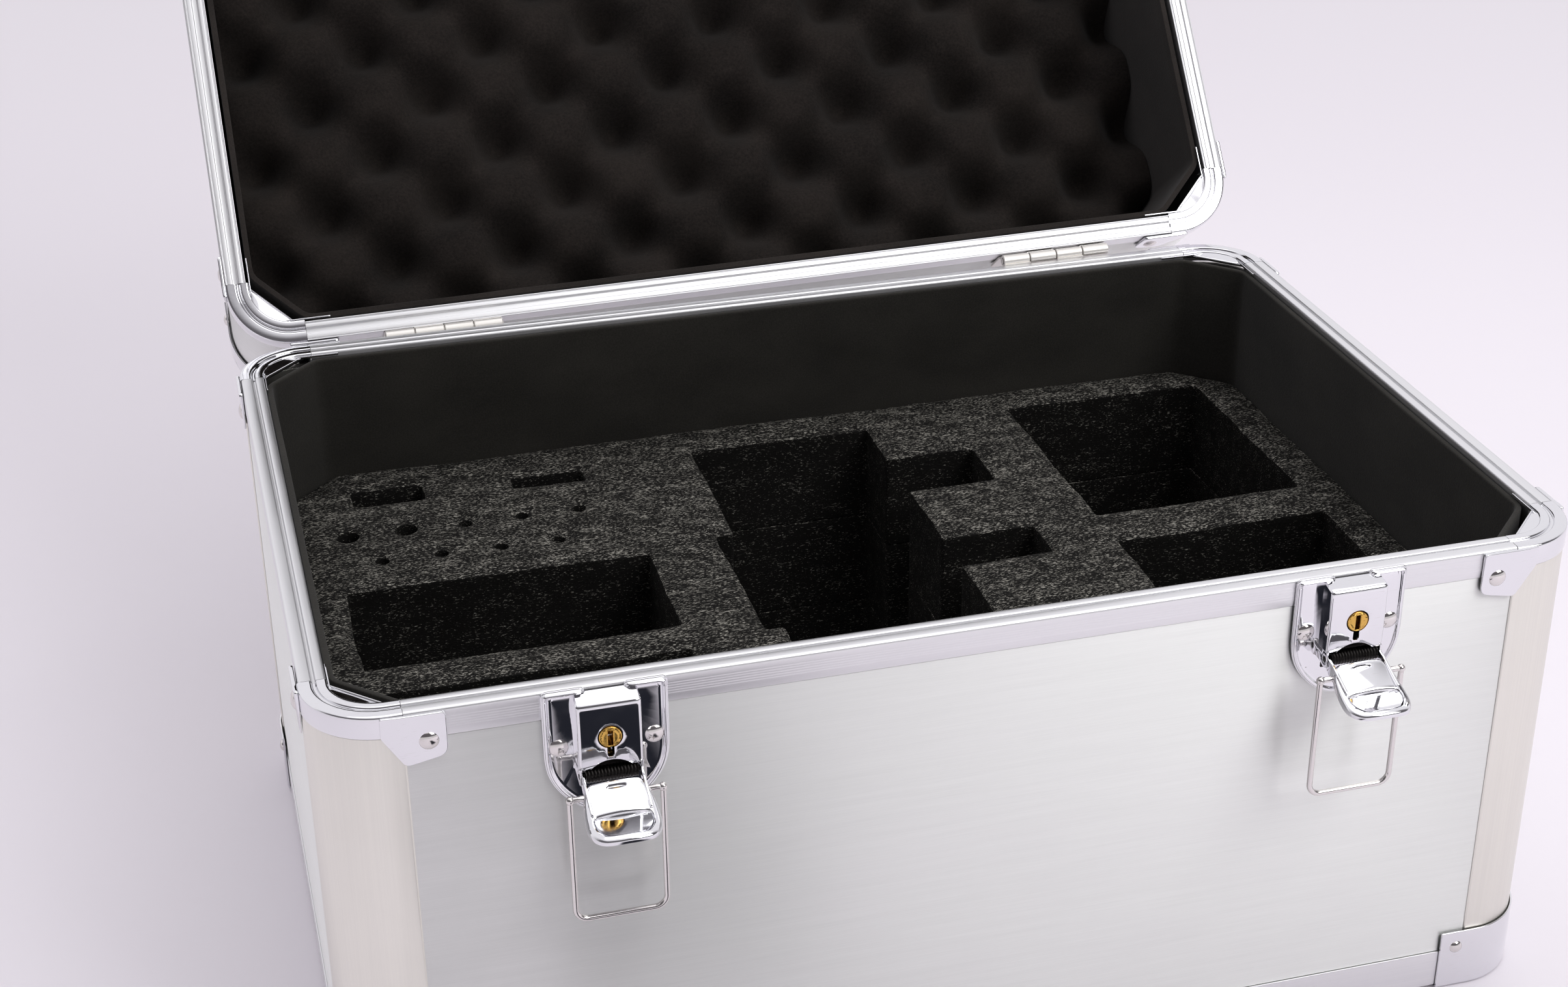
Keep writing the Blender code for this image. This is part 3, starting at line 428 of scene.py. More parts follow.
def slab(
    outline: Array, low: float, high: float, holes: Sequence[Array] = (), rounding: float = 0.25,
    step: float = 3.0, fill: float = 0.0, relief: Field | None = None, wall: float = 1e6,
    under: Field | None = None, border: Sequence[tuple[float, float]] = (), swell: Field | None = None,
) -> Surface:
    """Plate between two levels with rounded edges.

    At height a of its rounding the wall stands rounding (1 - sin a) inside its outline. A border
    goes on inwards from there, with a rise of its own at each inset.

    Args:
        outline: Closed line of the plate.
        low: Level of the underside.
        high: Level of the face.
        holes: Closed lines of its holes.
        rounding: Radius of all edges.
        step: Longest edge along the outline.
        fill: Distance between points inside the face, or 0 for none.
        relief: Lift of the face at each of (count, 2) points.
        wall: Longest edge up the wall.
        under: Lift of the underside at each of (count, 2) points.
        border: Further (inset, rise) lines round the face.
        swell: Factor on the border's rise at each of (count, 2) points.
    Returns:
        The plate, with plan places as its flat map, and lengths on its wall.
    """
    loops = [stepped(anticlockwise(outline), step)]
    loops += [stepped(anticlockwise(hole)[::-1], step) for hole in holes]
    angle = np.radians([0, 30, 60, 90])
    shrink = rounding * (1 - np.sin(angle))
    levels = low + rounding * (1 - np.cos(angle))
    count = max(1, math.ceil((high - low - 2 * rounding) / wall))
    between = np.linspace(low + rounding, high - rounding, count + 1)[1:-1]
    shrinks = np.concatenate([shrink, np.zeros(len(between)), shrink[::-1]])
    levels = np.concatenate([levels, between, low + high - levels[::-1]])
    share = np.clip((levels - low) / (high - low), 0, 1)

    def face(points: Array) -> Array:
        """Height of the face."""
        return high + (relief(points) if relief is not None else np.zeros(len(points)))

    def sole(points: Array) -> Array:
        """Height of the underside."""
        return low + (under(points) if under is not None else np.zeros(len(points)))

    walls = []
    for index, loop in enumerate(loops):
        way = outwards(loop, True)
        rows = []
        for amount, level, part in zip(shrinks, levels, share):
            line = loop - way * amount
            up = level + part * (face(line) - high) + (1 - part) * (sole(line) - low)
            rows.append(np.column_stack([line, up]))
        for inset, rise in border if index == 0 else ():
            line = loop - way * (rounding + inset)
            factor = swell(line) if swell is not None else 1.0
            rows.append(np.column_stack([line, face(line) + rise * factor]))
        walls.append(np.array(rows))
    return capped(walls, sole, face, fill)


def spread_points(loops: Sequence[Array], gap: float) -> Array:
    """Points of a triangular grid that lie inside the loops and clear of their edges.

    Args:
        loops: The outline and its holes.
        gap: Distance between neighbours.
    Returns:
        The points (count, 2).
    """
    low, high = loops[0].min(axis=0), loops[0].max(axis=0)
    x, y = np.meshgrid(np.arange(low[0], high[0], gap), np.arange(low[1], high[1], gap * 0.866))
    x = x + (np.arange(len(y)) % 2)[:, None] * gap / 2
    points = np.column_stack([x.ravel(), y.ravel()])
    points = points[within(points, loops)]
    return points[border_distance(points, loops) > gap * 0.55]


def carried(line: Array, section: Array, closed: bool) -> Surface:
    """Solid made by carrying a closed cross-section along a line.

    Each point is line + out * right of travel, at its height up. The ends of an open line are
    filled with triangles.

    Args:
        line: The line (count, 2).
        section: Closed line of (out, up).
        closed: Whether the line's end joins its start.
    Returns:
        The solid, with lengths along and around as its flat map.
    """
    way = outwards(line, closed)
    loop = np.concatenate([section, section[:1]])
    plan = line[:, None, :] + way[:, None, :] * loop[None, :, :1]
    up = np.broadcast_to(loop[:, 1], (len(line), len(loop)))
    rows = np.concatenate([plan, up[:, :, None]], axis=2)
    if closed:
        return patch(np.concatenate([rows, rows[:1]]))
    places, triangles = filled([section])
    faces = np.column_stack([triangles, triangles[:, 2]])
    ends = []
    for index in (0, -1):
        spot = line[index] + way[index] * places[:, :1]
        ends.append(Surface(np.column_stack([spot, places[:, 1]]), faces, places[faces]))
    return joined(patch(rows), *ends)


def turned(profile: Sequence, steps: int = 24) -> Surface:
    """Solid turned about the z axis: each point is (radius cos a, radius sin a, up).

    Args:
        profile: Its (radius, up) points.
        steps: Faces round the axis.
    Returns:
        The solid.
    """
    radius, up = np.asarray(profile, float).T
    angle = np.linspace(0, 2 * np.pi, steps + 1)
    rows = np.stack([
        np.outer(np.cos(angle), radius), np.outer(np.sin(angle), radius),
        np.broadcast_to(up, (len(angle), len(up))),
    ], axis=2)
    return patch(rows)


def wire(line: Array, radius: float, sides: int = 16) -> Surface:
    """Round wire along an open line in the x-z plane, with domed ends.

    Each ring is line + radius (cos a * right of travel, sin a * y), and the ends shrink to a point.

    Args:
        line: The wire's middle (count, 2).
        radius: Half of its thickness.
        sides: Faces round it.
    Returns:
        The wire.
    """
    ahead = line[1] - line[0]
    astern = line[-1] - line[-2]
    domes = np.array([0.0, 0.5, 0.85, 1.0])
    reach = radius * np.sqrt(1 - domes**2) * 0.7
    ahead /= np.linalg.norm(ahead)
    astern /= np.linalg.norm(astern)
    start = line[0] - ahead * reach[:, None]
    end = line[-1] + astern * reach[::-1, None]
    path = np.concatenate([start, line[1:-1], end])
    size = radius * np.concatenate([domes, np.ones(len(line) - 2), domes[::-1]])
    way = outwards(path, False)
    way[:4] = way[3]
    way[-4:] = way[-4]
    angle = np.linspace(0, 2 * np.pi, sides + 1)
    side = np.cos(angle)[None, :, None] * way[:, None, :] * size[:, None, None]
    plan = path[:, None, :] + side
    depth = np.outer(size, np.sin(angle))
    return patch(np.stack([plan[:, :, 0], depth, plan[:, :, 1]], axis=2))


def smooth(value: Array, start: float, end: float) -> Array:
    """0 before start, 1 after end and 3t^2 - 2t^3 between."""
    t = np.clip((value - start) / (end - start), 0, 1)
    return t * t * (3 - 2 * t)


# Each matrix stands a plate up, so that its own (x, y, z) becomes (across, up, outwards) of one side
FACING_FRONT = Matrix(((1, 0, 0, 0), (0, 0, -1, 0), (0, 1, 0, 0), (0, 0, 0, 1)))
FACING_BACK = Matrix(((-1, 0, 0, 0), (0, 0, 1, 0), (0, 1, 0, 0), (0, 0, 0, 1)))
FACING_RIGHT = Matrix(((0, 0, 1, 0), (1, 0, 0, 0), (0, 1, 0, 0), (0, 0, 0, 1)))
FACING_LEFT = Matrix(((0, 0, -1, 0), (-1, 0, 0, 0), (0, 1, 0, 0), (0, 0, 0, 1)))
# Stands a plate drawn as (towards the front, up) on edge, with its thickness across
EDGE_ON = Matrix(((0, 0, 1, 0), (-1, 0, 0, 0), (0, 1, 0, 0), (0, 0, 0, 1)))
# Lays a turned piece down, so that its axis runs across
LYING = Matrix.Rotation(math.radians(90), 4, "Y")


def shift(x: float, y: float, z: float) -> Matrix:
    """Matrix that moves by x, y and z."""
    return Matrix.Translation((x, y, z))


def mirrored(sx: float, sy: float, sz: float) -> Matrix:
    """Matrix that mirrors by signs."""
    return Matrix.Diagonal((sx, sy, sz, 1))


# Finishes


def linear(code: str) -> tuple[float, float, float, float]:
    """Linear colour of an sRGB hex code.

    Args:
        code: The code, such as #FFFFFF.
    Returns:
        Red, green, blue and an alpha of 1.
    """
    parts = [int(code[place:place + 2], 16) / 255 for place in (1, 3, 5)]
    light = [part / 12.92 if part <= 0.04045 else ((part + 0.055) / 1.055) ** 2.4 for part in parts]
    return (*light, 1.0)


def add_node(tree: Tree, kind: str, inputs: dict | None = None, **settings: object) -> Node:
    """Add a node with its settings, and give its inputs their values or links.

    Args:
        tree: The nodes that it joins.
        kind: The node's type, less its first word.
        inputs: A value or a socket for each input, by name or number.
        settings: The node's own settings.
    Returns:
        The new node.
    """
    node = tree.nodes.new(f"ShaderNode{kind}")
    for name, value in settings.items():
        setattr(node, name, value)
    for name, value in (inputs or {}).items():
        if isinstance(value, Socket):
            tree.links.new(value, node.inputs[name])
        else:
            node.inputs[name].default_value = value
    return node


def between(tree: Tree, way: Node, value: float | Socket, edges: Sequence[tuple]) -> Socket:
    """A value that fades out smoothly past each of several edges.

    Args:
        tree: The nodes that it joins.
        way: Node with the outputs X, Y and Z.
        value: The value inside all edges.
        edges: For each its way, where the fade is nothing, and where it is whole.
    Returns:
        The socket of the value times all the fades.
    """
    for axis, start, end in edges:
        share = add_node(tree, "MapRange", {
            "Value": way.outputs[axis], "From Min": start, "From Max": end,
        }, interpolation_type="SMOOTHSTEP")
        value = add_node(tree, "Math", {
            0: value, 1: share.outputs[0],
        }, operation="MULTIPLY").outputs[0]
    return value


class Ways(Enum):
    """Which places a pattern reads: the piece's own flat map in mm, or its points in metres."""

    FLAT = "UV"
    SOLID = "Object"


@dataclass(frozen=True)
class Finish:
    """Base of the finishes: a name, a slot name and the shader's own numbers."""

    name: str
    slot: str
    metallic: float = 0.0
    sheen: float = 0.0
    specular: float = 0.5

    def made(self) -> bpy.types.Material:
        """The material, built once.

        Returns:
            The material of this name.
        """
        found = bpy.data.materials.get(self.name)
        if found:
            return found
        material = bpy.data.materials.new(self.name)
        material.use_nodes = True
        tree = material.node_tree
        shader = tree.nodes["Principled BSDF"]
        shader.inputs["Metallic"].default_value = self.metallic
        shader.inputs["Sheen Weight"].default_value = self.sheen
        shader.inputs["Specular IOR Level"].default_value = self.specular
        self.dress(tree, shader)
        return material

    def dress(self, tree: Tree, shader: Node) -> None:
        """Add the finish's own nodes."""
        raise NotImplementedError

    def fitted(self, tree: Tree, shader: Node, *sockets: Socket) -> None:
        """Link a colour, a roughness and a normal to the shader."""
        for name, socket in zip(("Base Color", "Roughness", "Normal"), sockets):
            tree.links.new(socket, shader.inputs[name])

    def pattern(self, tree: Tree, ways: Ways, size: Sequence[float]) -> dict:
        """Inputs of a noise or a cell pattern that counts places in units of a real size.

        Args:
            tree: The material's nodes.
            ways: Which places are counted.
            size: The unit along each way, in mm.
        Returns:
            The pattern's places, and a scale of 1.
        """
        unit = 1 / MM if ways is Ways.SOLID else 1.0
        places = add_node(tree, "TexCoord")
        mapping = add_node(tree, "Mapping", {
            "Vector": places.outputs[ways.value], "Scale": [unit / length for length in size],
        })
        return {"Vector": mapping.outputs["Vector"], "Scale": 1.0}


@dataclass(frozen=True)
class DrawnMetal(Finish):
    """Metal with lines along its length, from the brushing belt or the extrusion die.

    The lines run along the first way of the flat map, and faint smudges lie over them.
    """

    metallic: float = 1.0
    light: str = "#DADADC"
    dark: str = "#C2C2C5"
    rough: tuple[float, float] = (0.26, 0.36)
    across: float = 0.0
    line_length: float = 60.0
    line_width: float = 0.35
    bump: float = 0.02

    def dress(self, tree: Tree, shader: Node) -> None:
        """Two sizes of stretched noise for the lines, and wide noise for the smudges.

        Args:
            tree: The material's nodes.
            shader: Its main shader.
        """
        fine = add_node(tree, "TexNoise", {
            **self.pattern(tree, Ways.FLAT, (self.line_length, self.line_width, 1)),
            "Detail": 4.0, "Roughness": 0.65,
        })
        wide = add_node(tree, "TexNoise", {
            **self.pattern(tree, Ways.FLAT, (self.line_length * 3, self.line_width * 7, 1)),
            "Detail": 2.0, "Roughness": 0.5,
        })
        smudge = add_node(tree, "TexNoise", {
            **self.pattern(tree, Ways.SOLID, (55, 55, 35)), "Detail": 4.0, "Roughness": 0.6,
        })
        lines = add_node(tree, "Mix", {
            0: 0.35, 2: fine.outputs["Fac"], 3: wide.outputs["Fac"],
        }, data_type="FLOAT")
        spread = add_node(tree, "MapRange", {
            "Value": lines.outputs[0], "From Min": 0.3, "From Max": 0.7,
        })
        colour = add_node(tree, "Mix", {
            0: spread.outputs[0], 6: linear(self.dark), 7: linear(self.light),
        }, data_type="RGBA")
        worn = add_node(tree, "MapRange", {
            "Value": smudge.outputs["Fac"], "From Min": 0.35, "From Max": 0.75,
            "To Min": self.rough[0], "To Max": self.rough[1],
        })
        relief = add_node(tree, "Bump", {
            "Height": lines.outputs[0], "Distance": self.bump * MM, "Strength": 0.6,
        })
        if self.across:
            shader.inputs["Anisotropic"].default_value = self.across
            shader.inputs["Anisotropic Rotation"].default_value = 0.25
            along = add_node(tree, "Tangent", direction_type="UV_MAP", uv_map="UVMap")
            tree.links.new(along.outputs[0], shader.inputs["Tangent"])
        self.fitted(tree, shader, colour.outputs[2], worn.outputs[0], relief.outputs[0])


@dataclass(frozen=True)
class PlatedSteel(Finish):
    """Polished plated steel: a clear mirror with haze and short hair scratches."""

    metallic: float = 1.0
    tone: str = "#E6E6E9"
    worn: str = "#C9C6C4"
    rough: tuple[float, float] = (0.04, 0.11)
    hair: float = 0.25

    def dress(self, tree: Tree, shader: Node) -> None:
        """Wide noise for haze and stretched noise for scratches.

        Args:
            tree: The material's nodes.
            shader: Its main shader.
        """
        haze = add_node(tree, "TexNoise", {
            **self.pattern(tree, Ways.SOLID, (7, 7, 7)), "Detail": 5.0, "Roughness": 0.65,
        })
        scratch = add_node(tree, "TexNoise", {
            **self.pattern(tree, Ways.SOLID, (5, 0.3, 0.4)), "Detail": 2.0, "Distortion": 0.6,
        })
        hazed = add_node(tree, "MapRange", {
            "Value": haze.outputs["Fac"], "From Min": 0.4, "From Max": 0.72,
            "To Min": self.rough[0], "To Max": self.rough[1],
        }, interpolation_type="SMOOTHSTEP")
        hairs = add_node(tree, "MapRange", {
            "Value": scratch.outputs["Fac"], "From Min": 0.66, "From Max": 0.72,
        }, interpolation_type="SMOOTHSTEP")
        worn = add_node(tree, "Math", {0: hairs.outputs[0], 1: self.hair}, operation="MULTIPLY")
        tone = add_node(tree, "Mix", {
            0: worn.outputs[0], 6: linear(self.tone), 7: linear(self.worn),
        }, data_type="RGBA")
        relief = add_node(tree, "Bump", {
            "Height": haze.outputs["Fac"], "Distance": 0.02 * MM, "Strength": 0.2,
        })
        self.fitted(tree, shader, tone.outputs[2], hazed.outputs[0], relief.outputs[0])


@dataclass(frozen=True)
class CellFoam(Finish):
    """Closed-cell plank foam: dark resin with thin short pale streaks painted in, which are painted
    glints of the cut cell walls that catch the light.

    The streaks are 1 to 2 mm long and lie roughly along the plank. They gather in patches, and fewer
    of them are painted on the upright cut walls, so these read darker.
    """

    sheen: float = 0.0
    specular: float = 0.14
    deep: str = "#080707"
    face: str = "#1B1A18"
    # Tone of the painted glints, the light that cut cell walls catch
    painted_glint: str = "#A5A299"
    streak: tuple[float, float, float] = (1.3, 0.45, 0.45)
    threshold: tuple[float, float] = (0.575, 0.485)
    wall_threshold: float = 0.08
    fade: float = 0.16

    def dress(self, tree: Tree, shader: Node) -> None:
        """Stretched noise above a threshold that drifts, over a fine dark grain.

        Args:
            tree: The material's nodes.
            shader: Its main shader.
        """
        streaks = add_node(tree, "TexNoise", {
            **self.pattern(tree, Ways.SOLID, self.streak),
            "Detail": 2.5, "Roughness": 0.6, "Distortion": 0.5,
        })
        patches = add_node(tree, "TexNoise", {
            **self.pattern(tree, Ways.SOLID, (10, 5, 5)), "Detail": 3.0, "Roughness": 0.6,
        })
        grain = add_node(tree, "TexNoise", {
            **self.pattern(tree, Ways.SOLID, (1.1, 0.6, 0.6)), "Detail": 3.0,
        })
        facing = add_node(tree, "SeparateXYZ", {0: add_node(tree, "TexCoord").outputs["Normal"]})
        drift = add_node(tree, "MapRange", {
            "Value": patches.outputs["Fac"], "From Min": 0.32, "From Max": 0.68,
            "To Min": self.threshold[0], "To Max": self.threshold[1],
        })
        # Fewer painted glints on upright faces, which so read darker
        rarer = add_node(tree, "MapRange", {
            "Value": facing.outputs["Z"], "From Min": 0.3, "From Max": 0.8,
            "To Min": self.wall_threshold, "To Max": 0.0,
        })
        least = add_node(tree, "Math", {0: drift.outputs[0], 1: rarer.outputs[0]}, operation="ADD")
        most = add_node(tree, "Math", {0: least.outputs[0], 1: self.fade}, operation="ADD")
        # Share of the painted glints, which are also less rough
        bright = add_node(tree, "MapRange", {
            "Value": streaks.outputs["Fac"], "From Min": least.outputs[0], "From Max": most.outputs[0],
        })
        tone = add_node(tree, "Mix", {
            0: grain.outputs["Fac"], 6: linear(self.deep), 7: linear(self.face),
        }, data_type="RGBA")
        colour = add_node(tree, "Mix", {
            0: bright.outputs[0], 6: tone.outputs[2], 7: linear(self.painted_glint),
        }, data_type="RGBA")
        relief = add_node(tree, "Bump", {
            "Height": streaks.outputs["Fac"], "Distance": 0.5 * MM, "Strength": 0.7,
        })
        rough = add_node(tree, "MapRange", {
            "Value": bright.outputs[0], "To Min": 0.85, "To Max": 0.5,
        })
        self.fitted(tree, shader, colour.outputs[2], rough.outputs[0], relief.outputs[0])


@dataclass(frozen=True)
class SoftFoam(Finish):
    """Soft open foam or felt: matt, with a fine pore or nap and a slow drift of tone."""

    sheen: float = 0.12
    specular: float = 0.12
    dark: str = "#1B1917"
    light: str = "#2F2C2A"
    pore: float = 0.8
    depth: float = 0.25

    def dress(self, tree: Tree, shader: Node) -> None:
        """Fine noise for the pores and wide noise for the drift.

        Args:
            tree: The material's nodes.
            shader: Its main shader.
        """
        pores = add_node(tree, "TexNoise", {
            **self.pattern(tree, Ways.SOLID, (self.pore,) * 3), "Detail": 4.0, "Roughness": 0.7,
        })
        drift = add_node(tree, "TexNoise", {
            **self.pattern(tree, Ways.SOLID, (38, 38, 24)), "Detail": 4.0,
        })
        both = add_node(tree, "Mix", {
            0: 0.45, 2: pores.outputs["Fac"], 3: drift.outputs["Fac"],
        }, data_type="FLOAT")
        spread = add_node(tree, "MapRange", {
            "Value": both.outputs[0], "From Min": 0.32, "From Max": 0.68,
        })
        colour = add_node(tree, "Mix", {
            0: spread.outputs[0], 6: linear(self.dark), 7: linear(self.light),
        }, data_type="RGBA")
        relief = add_node(tree, "Bump", {
            "Height": pores.outputs["Fac"], "Distance": self.depth * MM, "Strength": 0.7,
        })
        rough = add_node(tree, "MapRange", {
            "Value": pores.outputs["Fac"], "To Min": 0.8, "To Max": 1.0,
        })
        self.fitted(tree, shader, colour.outputs[2], rough.outputs[0], relief.outputs[0])


@dataclass(frozen=True)
class MouldedPlastic(Finish):
    """Black moulded plastic with a spark-eroded grain, shinier where hands rub it."""

    dark: str = "#141414"
    light: str = "#232323"

    def dress(self, tree: Tree, shader: Node) -> None:
        """Fine cells for the grain and wide noise for the rubbed places.

        Args:
            tree: The material's nodes.
            shader: Its main shader.
        """
        grain = add_node(tree, "TexVoronoi", {
            **self.pattern(tree, Ways.SOLID, (0.7, 0.7, 0.7)),
        }, feature="SMOOTH_F1")
        rubbed = add_node(tree, "TexNoise", {
            **self.pattern(tree, Ways.SOLID, (25, 12, 12)), "Detail": 3.0,
        })
        colour = add_node(tree, "Mix", {
            0: rubbed.outputs["Fac"], 6: linear(self.dark), 7: linear(self.light),
        }, data_type="RGBA")
        rough = add_node(tree, "MapRange", {
            "Value": rubbed.outputs["Fac"], "From Min": 0.35, "From Max": 0.65,
            "To Min": 0.32, "To Max": 0.55,
        })
        relief = add_node(tree, "Bump", {
            "Height": grain.outputs["Distance"], "Distance": 0.12 * MM, "Strength": 0.5,
        })
        self.fitted(tree, shader, colour.outputs[2], rough.outputs[0], relief.outputs[0])


# Aluminium-faced board: belt-brushed, so it glows softly across its lines
BRUSHED_BOARD = DrawnMetal(
    "brushed_aluminium_board", "brushed_board", light="#EDEEEC", dark="#E6E7E5", rough=(0.44, 0.5),
    line_length=28.0, line_width=0.35, bump=0.008, across=0.9,
)
# Extruded aluminium, bright-dipped and anodised: crisp highlights with faint die lines
EXTRUSION = DrawnMetal(
    "bright_anodised_extrusion", "aluminium_profile", light="#E9E9EA", dark="#E3E3E5",
    rough=(0.34, 0.42), line_length=120.0, line_width=0.6, bump=0.002,
)
# Corner posts are the same alloy left satin, a little warmer
SATIN_POST = DrawnMetal(
    "satin_anodised_post", "aluminium_profile", light="#EAE8E0", dark="#E4E2DB", rough=(0.38, 0.45),
    line_length=90.0, line_width=0.8, bump=0.004,
)
# Bright chrome over pressed steel: a mirror with a little haze
CHROME = PlatedSteel("bright_chrome_plate", "chrome_fitting")
# Nickel-plated wire, pins, hinges and rivets, warmer and less clear than chrome
NICKEL = PlatedSteel(
    "nickel_plated_steel", "steel", tone="#DEDAD8", worn="#A79E96", rough=(0.09, 0.2),
)
# The hinges' plating is matt
MATT_NICKEL = PlatedSteel(
    "matt_nickel_steel", "steel", tone="#E4E1DC", worn="#B9B2AB", rough=(0.42, 0.5),
)
# Pin, coil and sheet between the ears of a latch, near black: painted shade and painted dark reflection
# of the shaded gap between the ears
SHADE_DARK_STEEL = PlatedSteel(
    "steel_darkened_as_painted_shade", "steel", tone="#2B2928", worn="#54504C", rough=(0.3, 0.45),
)
# Turned brass key plug, slightly tarnished
BRASS = PlatedSteel(
    "turned_brass", "brass", tone="#D9AE5C", worn="#8A6430", rough=(0.18, 0.36), hair=0.9,
)
# Flocked sheet glued to the walls: an even matt nap. The lid's copy is a little redder and lighter, and
# its lighter tone paints more light onto the lid's lining
FELT = SoftFoam(
    "flocked_lining", "lining_cloth", dark="#1E1D1A", light="#34322E", pore=0.7, depth=0.15,
)
# Lighter copy of the flock for the lid: painted light
LIT_LID_FELT = SoftFoam(
    "flocked_lid_lining_painted_lighter", "lining_cloth", dark="#23201E", light="#383330", pore=0.7, depth=0.15,
)
# Polyethylene plank, cut by hand: dark, with pale streaks painted as glints of torn cell walls
PLANK = CellFoam("cut_plank_foam", "plank_foam")
# Open-cell polyurethane, cut on an egg-crate roller: soft and matt, with fine pores
CRATE = SoftFoam(
    "roller_cut_open_foam", "egg_crate_foam", dark="#161413", light="#322D2A", pore=1.1, depth=0.3,
    sheen=0.03, specular=0.08,
)
# Moulded polypropylene with a spark-eroded grain
GRIP = MouldedPlastic("moulded_black_plastic", "black_plastic")


def show(
    name: str, surface: Surface, finish: Finish, body: str, stands_for: Sequence[str] = (),
    sharp: float = 35.0,
) -> bpy.types.Object:
    """Put a finished piece into the scene.

    Args:
        name: The piece's name.
        surface: Its shape in millimetres, where it stands in the case.
        finish: Its material.
        body: The moving body that it rides on.
        stands_for: The solids that it replaces.
        sharp: Angle in degrees above which an edge stays sharp.
    Returns:
        The new object.
    """
    mesh = mesh_of(name, surface)
    mesh.materials.append(finish.made())
    mesh.shade_smooth()
    mesh.set_sharp_from_angle(angle=math.radians(sharp))
    piece = bpy.data.objects.new(name, mesh)
    bpy.context.scene.collection.objects.link(piece)
    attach(piece, body)
    if stands_for:
        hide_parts(*stands_for)
    LOG.info("%s: %d faces on %s", name, len(mesh.polygons), body)
    return piece


# The case


@dataclass(frozen=True)
class CaseSizes:
    """Sizes that more than one part of the case needs."""

    half_x: float = 200.0
    half_y: float = 130.0
    corner_radius: float = 15.0
    rim_top: float = 177.0
    rim_width: float = 8.5
    rim_height: float = 9.6
    parting: float = 0.4
    edge_bottom: float = 1.0
    edge_leg: float = 15.0
    board_in: float = 1.3
    board_out: float = 7.6
    skin_out: float = 8.0
    floor_top: float = 6.5
    lid_edge_top: float = 87.6
    lid_board_top: float = 86.1
    lid_board_bottom: float = 82.1
    lid_height: float = 88.6
    seam_x: float = 180.5
    seam_y: float = 112.5
    plate_back: float = 8.8
    hinge_out: float = 11.65
    hinge_drop: float = 0.4
    hinge_tilt: float = math.radians(0.57)
    open_angle: float = math.radians(127.0)
    lining_in: float = -2.5
    lining_out: float = -0.3
    lining_chamfer: float = 20.0
    lining_drop: float = 2.2


class Case:
    """The case's sizes, and the matrices that put the base's and the lid's drawings in place."""

    def __init__(self, sizes: CaseSizes) -> None:
        """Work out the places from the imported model's own floor board.

        Args:
            sizes: The sizes that the parts share.
        """
        self.sizes = sizes
        low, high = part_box("base_floor_board")
        middle = (low + high) / 2 / MM
        self.centre = Vector((middle.x, middle.y, 0.0))
        self.root = Matrix.Translation(self.centre)
        self.base = self.root @ shift(0, 0, sizes.rim_top)
        self.axis_at = Vector((0.0, sizes.half_y + sizes.hinge_out, sizes.rim_top - sizes.hinge_drop))
        axis = Vector((math.cos(sizes.hinge_tilt), 0.0, math.sin(sizes.hinge_tilt)))
        turn = Matrix.Rotation(-sizes.open_angle, 4, axis)
        self.lid_turn = (
            self.root @ Matrix.Translation(self.axis_at) @ turn @ Matrix.Translation(-self.axis_at)
        )
        self.lid = self.lid_turn @ shift(0, 0, sizes.rim_top + sizes.parting)
        self.on_back = shift(0, sizes.half_y, 0) @ FACING_BACK
        self.on_right = shift(sizes.half_x, 0, 0) @ FACING_RIGHT

    def inner_edge(self, grow: float = 0.0, steps: int = 14) -> Array:
        """The rim's inner edge, grown outwards."""
        s = self.sizes
        return rounded_box(s.half_x + grow, s.half_y + grow, s.corner_radius + grow, steps)

    def corner_line(self, end_x: float, end_y: float, steps: int = 18) -> Array:
        """The inner edge round the back right corner, from (half_x, end_y) to (end_x, half_y).

        Args:
            end_x: Where it ends on the back.
            end_y: Where it starts on the right side.
            steps: Edges round the corner.
        Returns:
            Open line (count, 2).
        """
        s = self.sizes
        centre = (s.half_x - s.corner_radius, s.half_y - s.corner_radius)
        bend = arc(centre, s.corner_radius, 0, 90, steps)
        return np.concatenate([[(s.half_x, end_y)], bend, [(end_x, s.half_y)]])


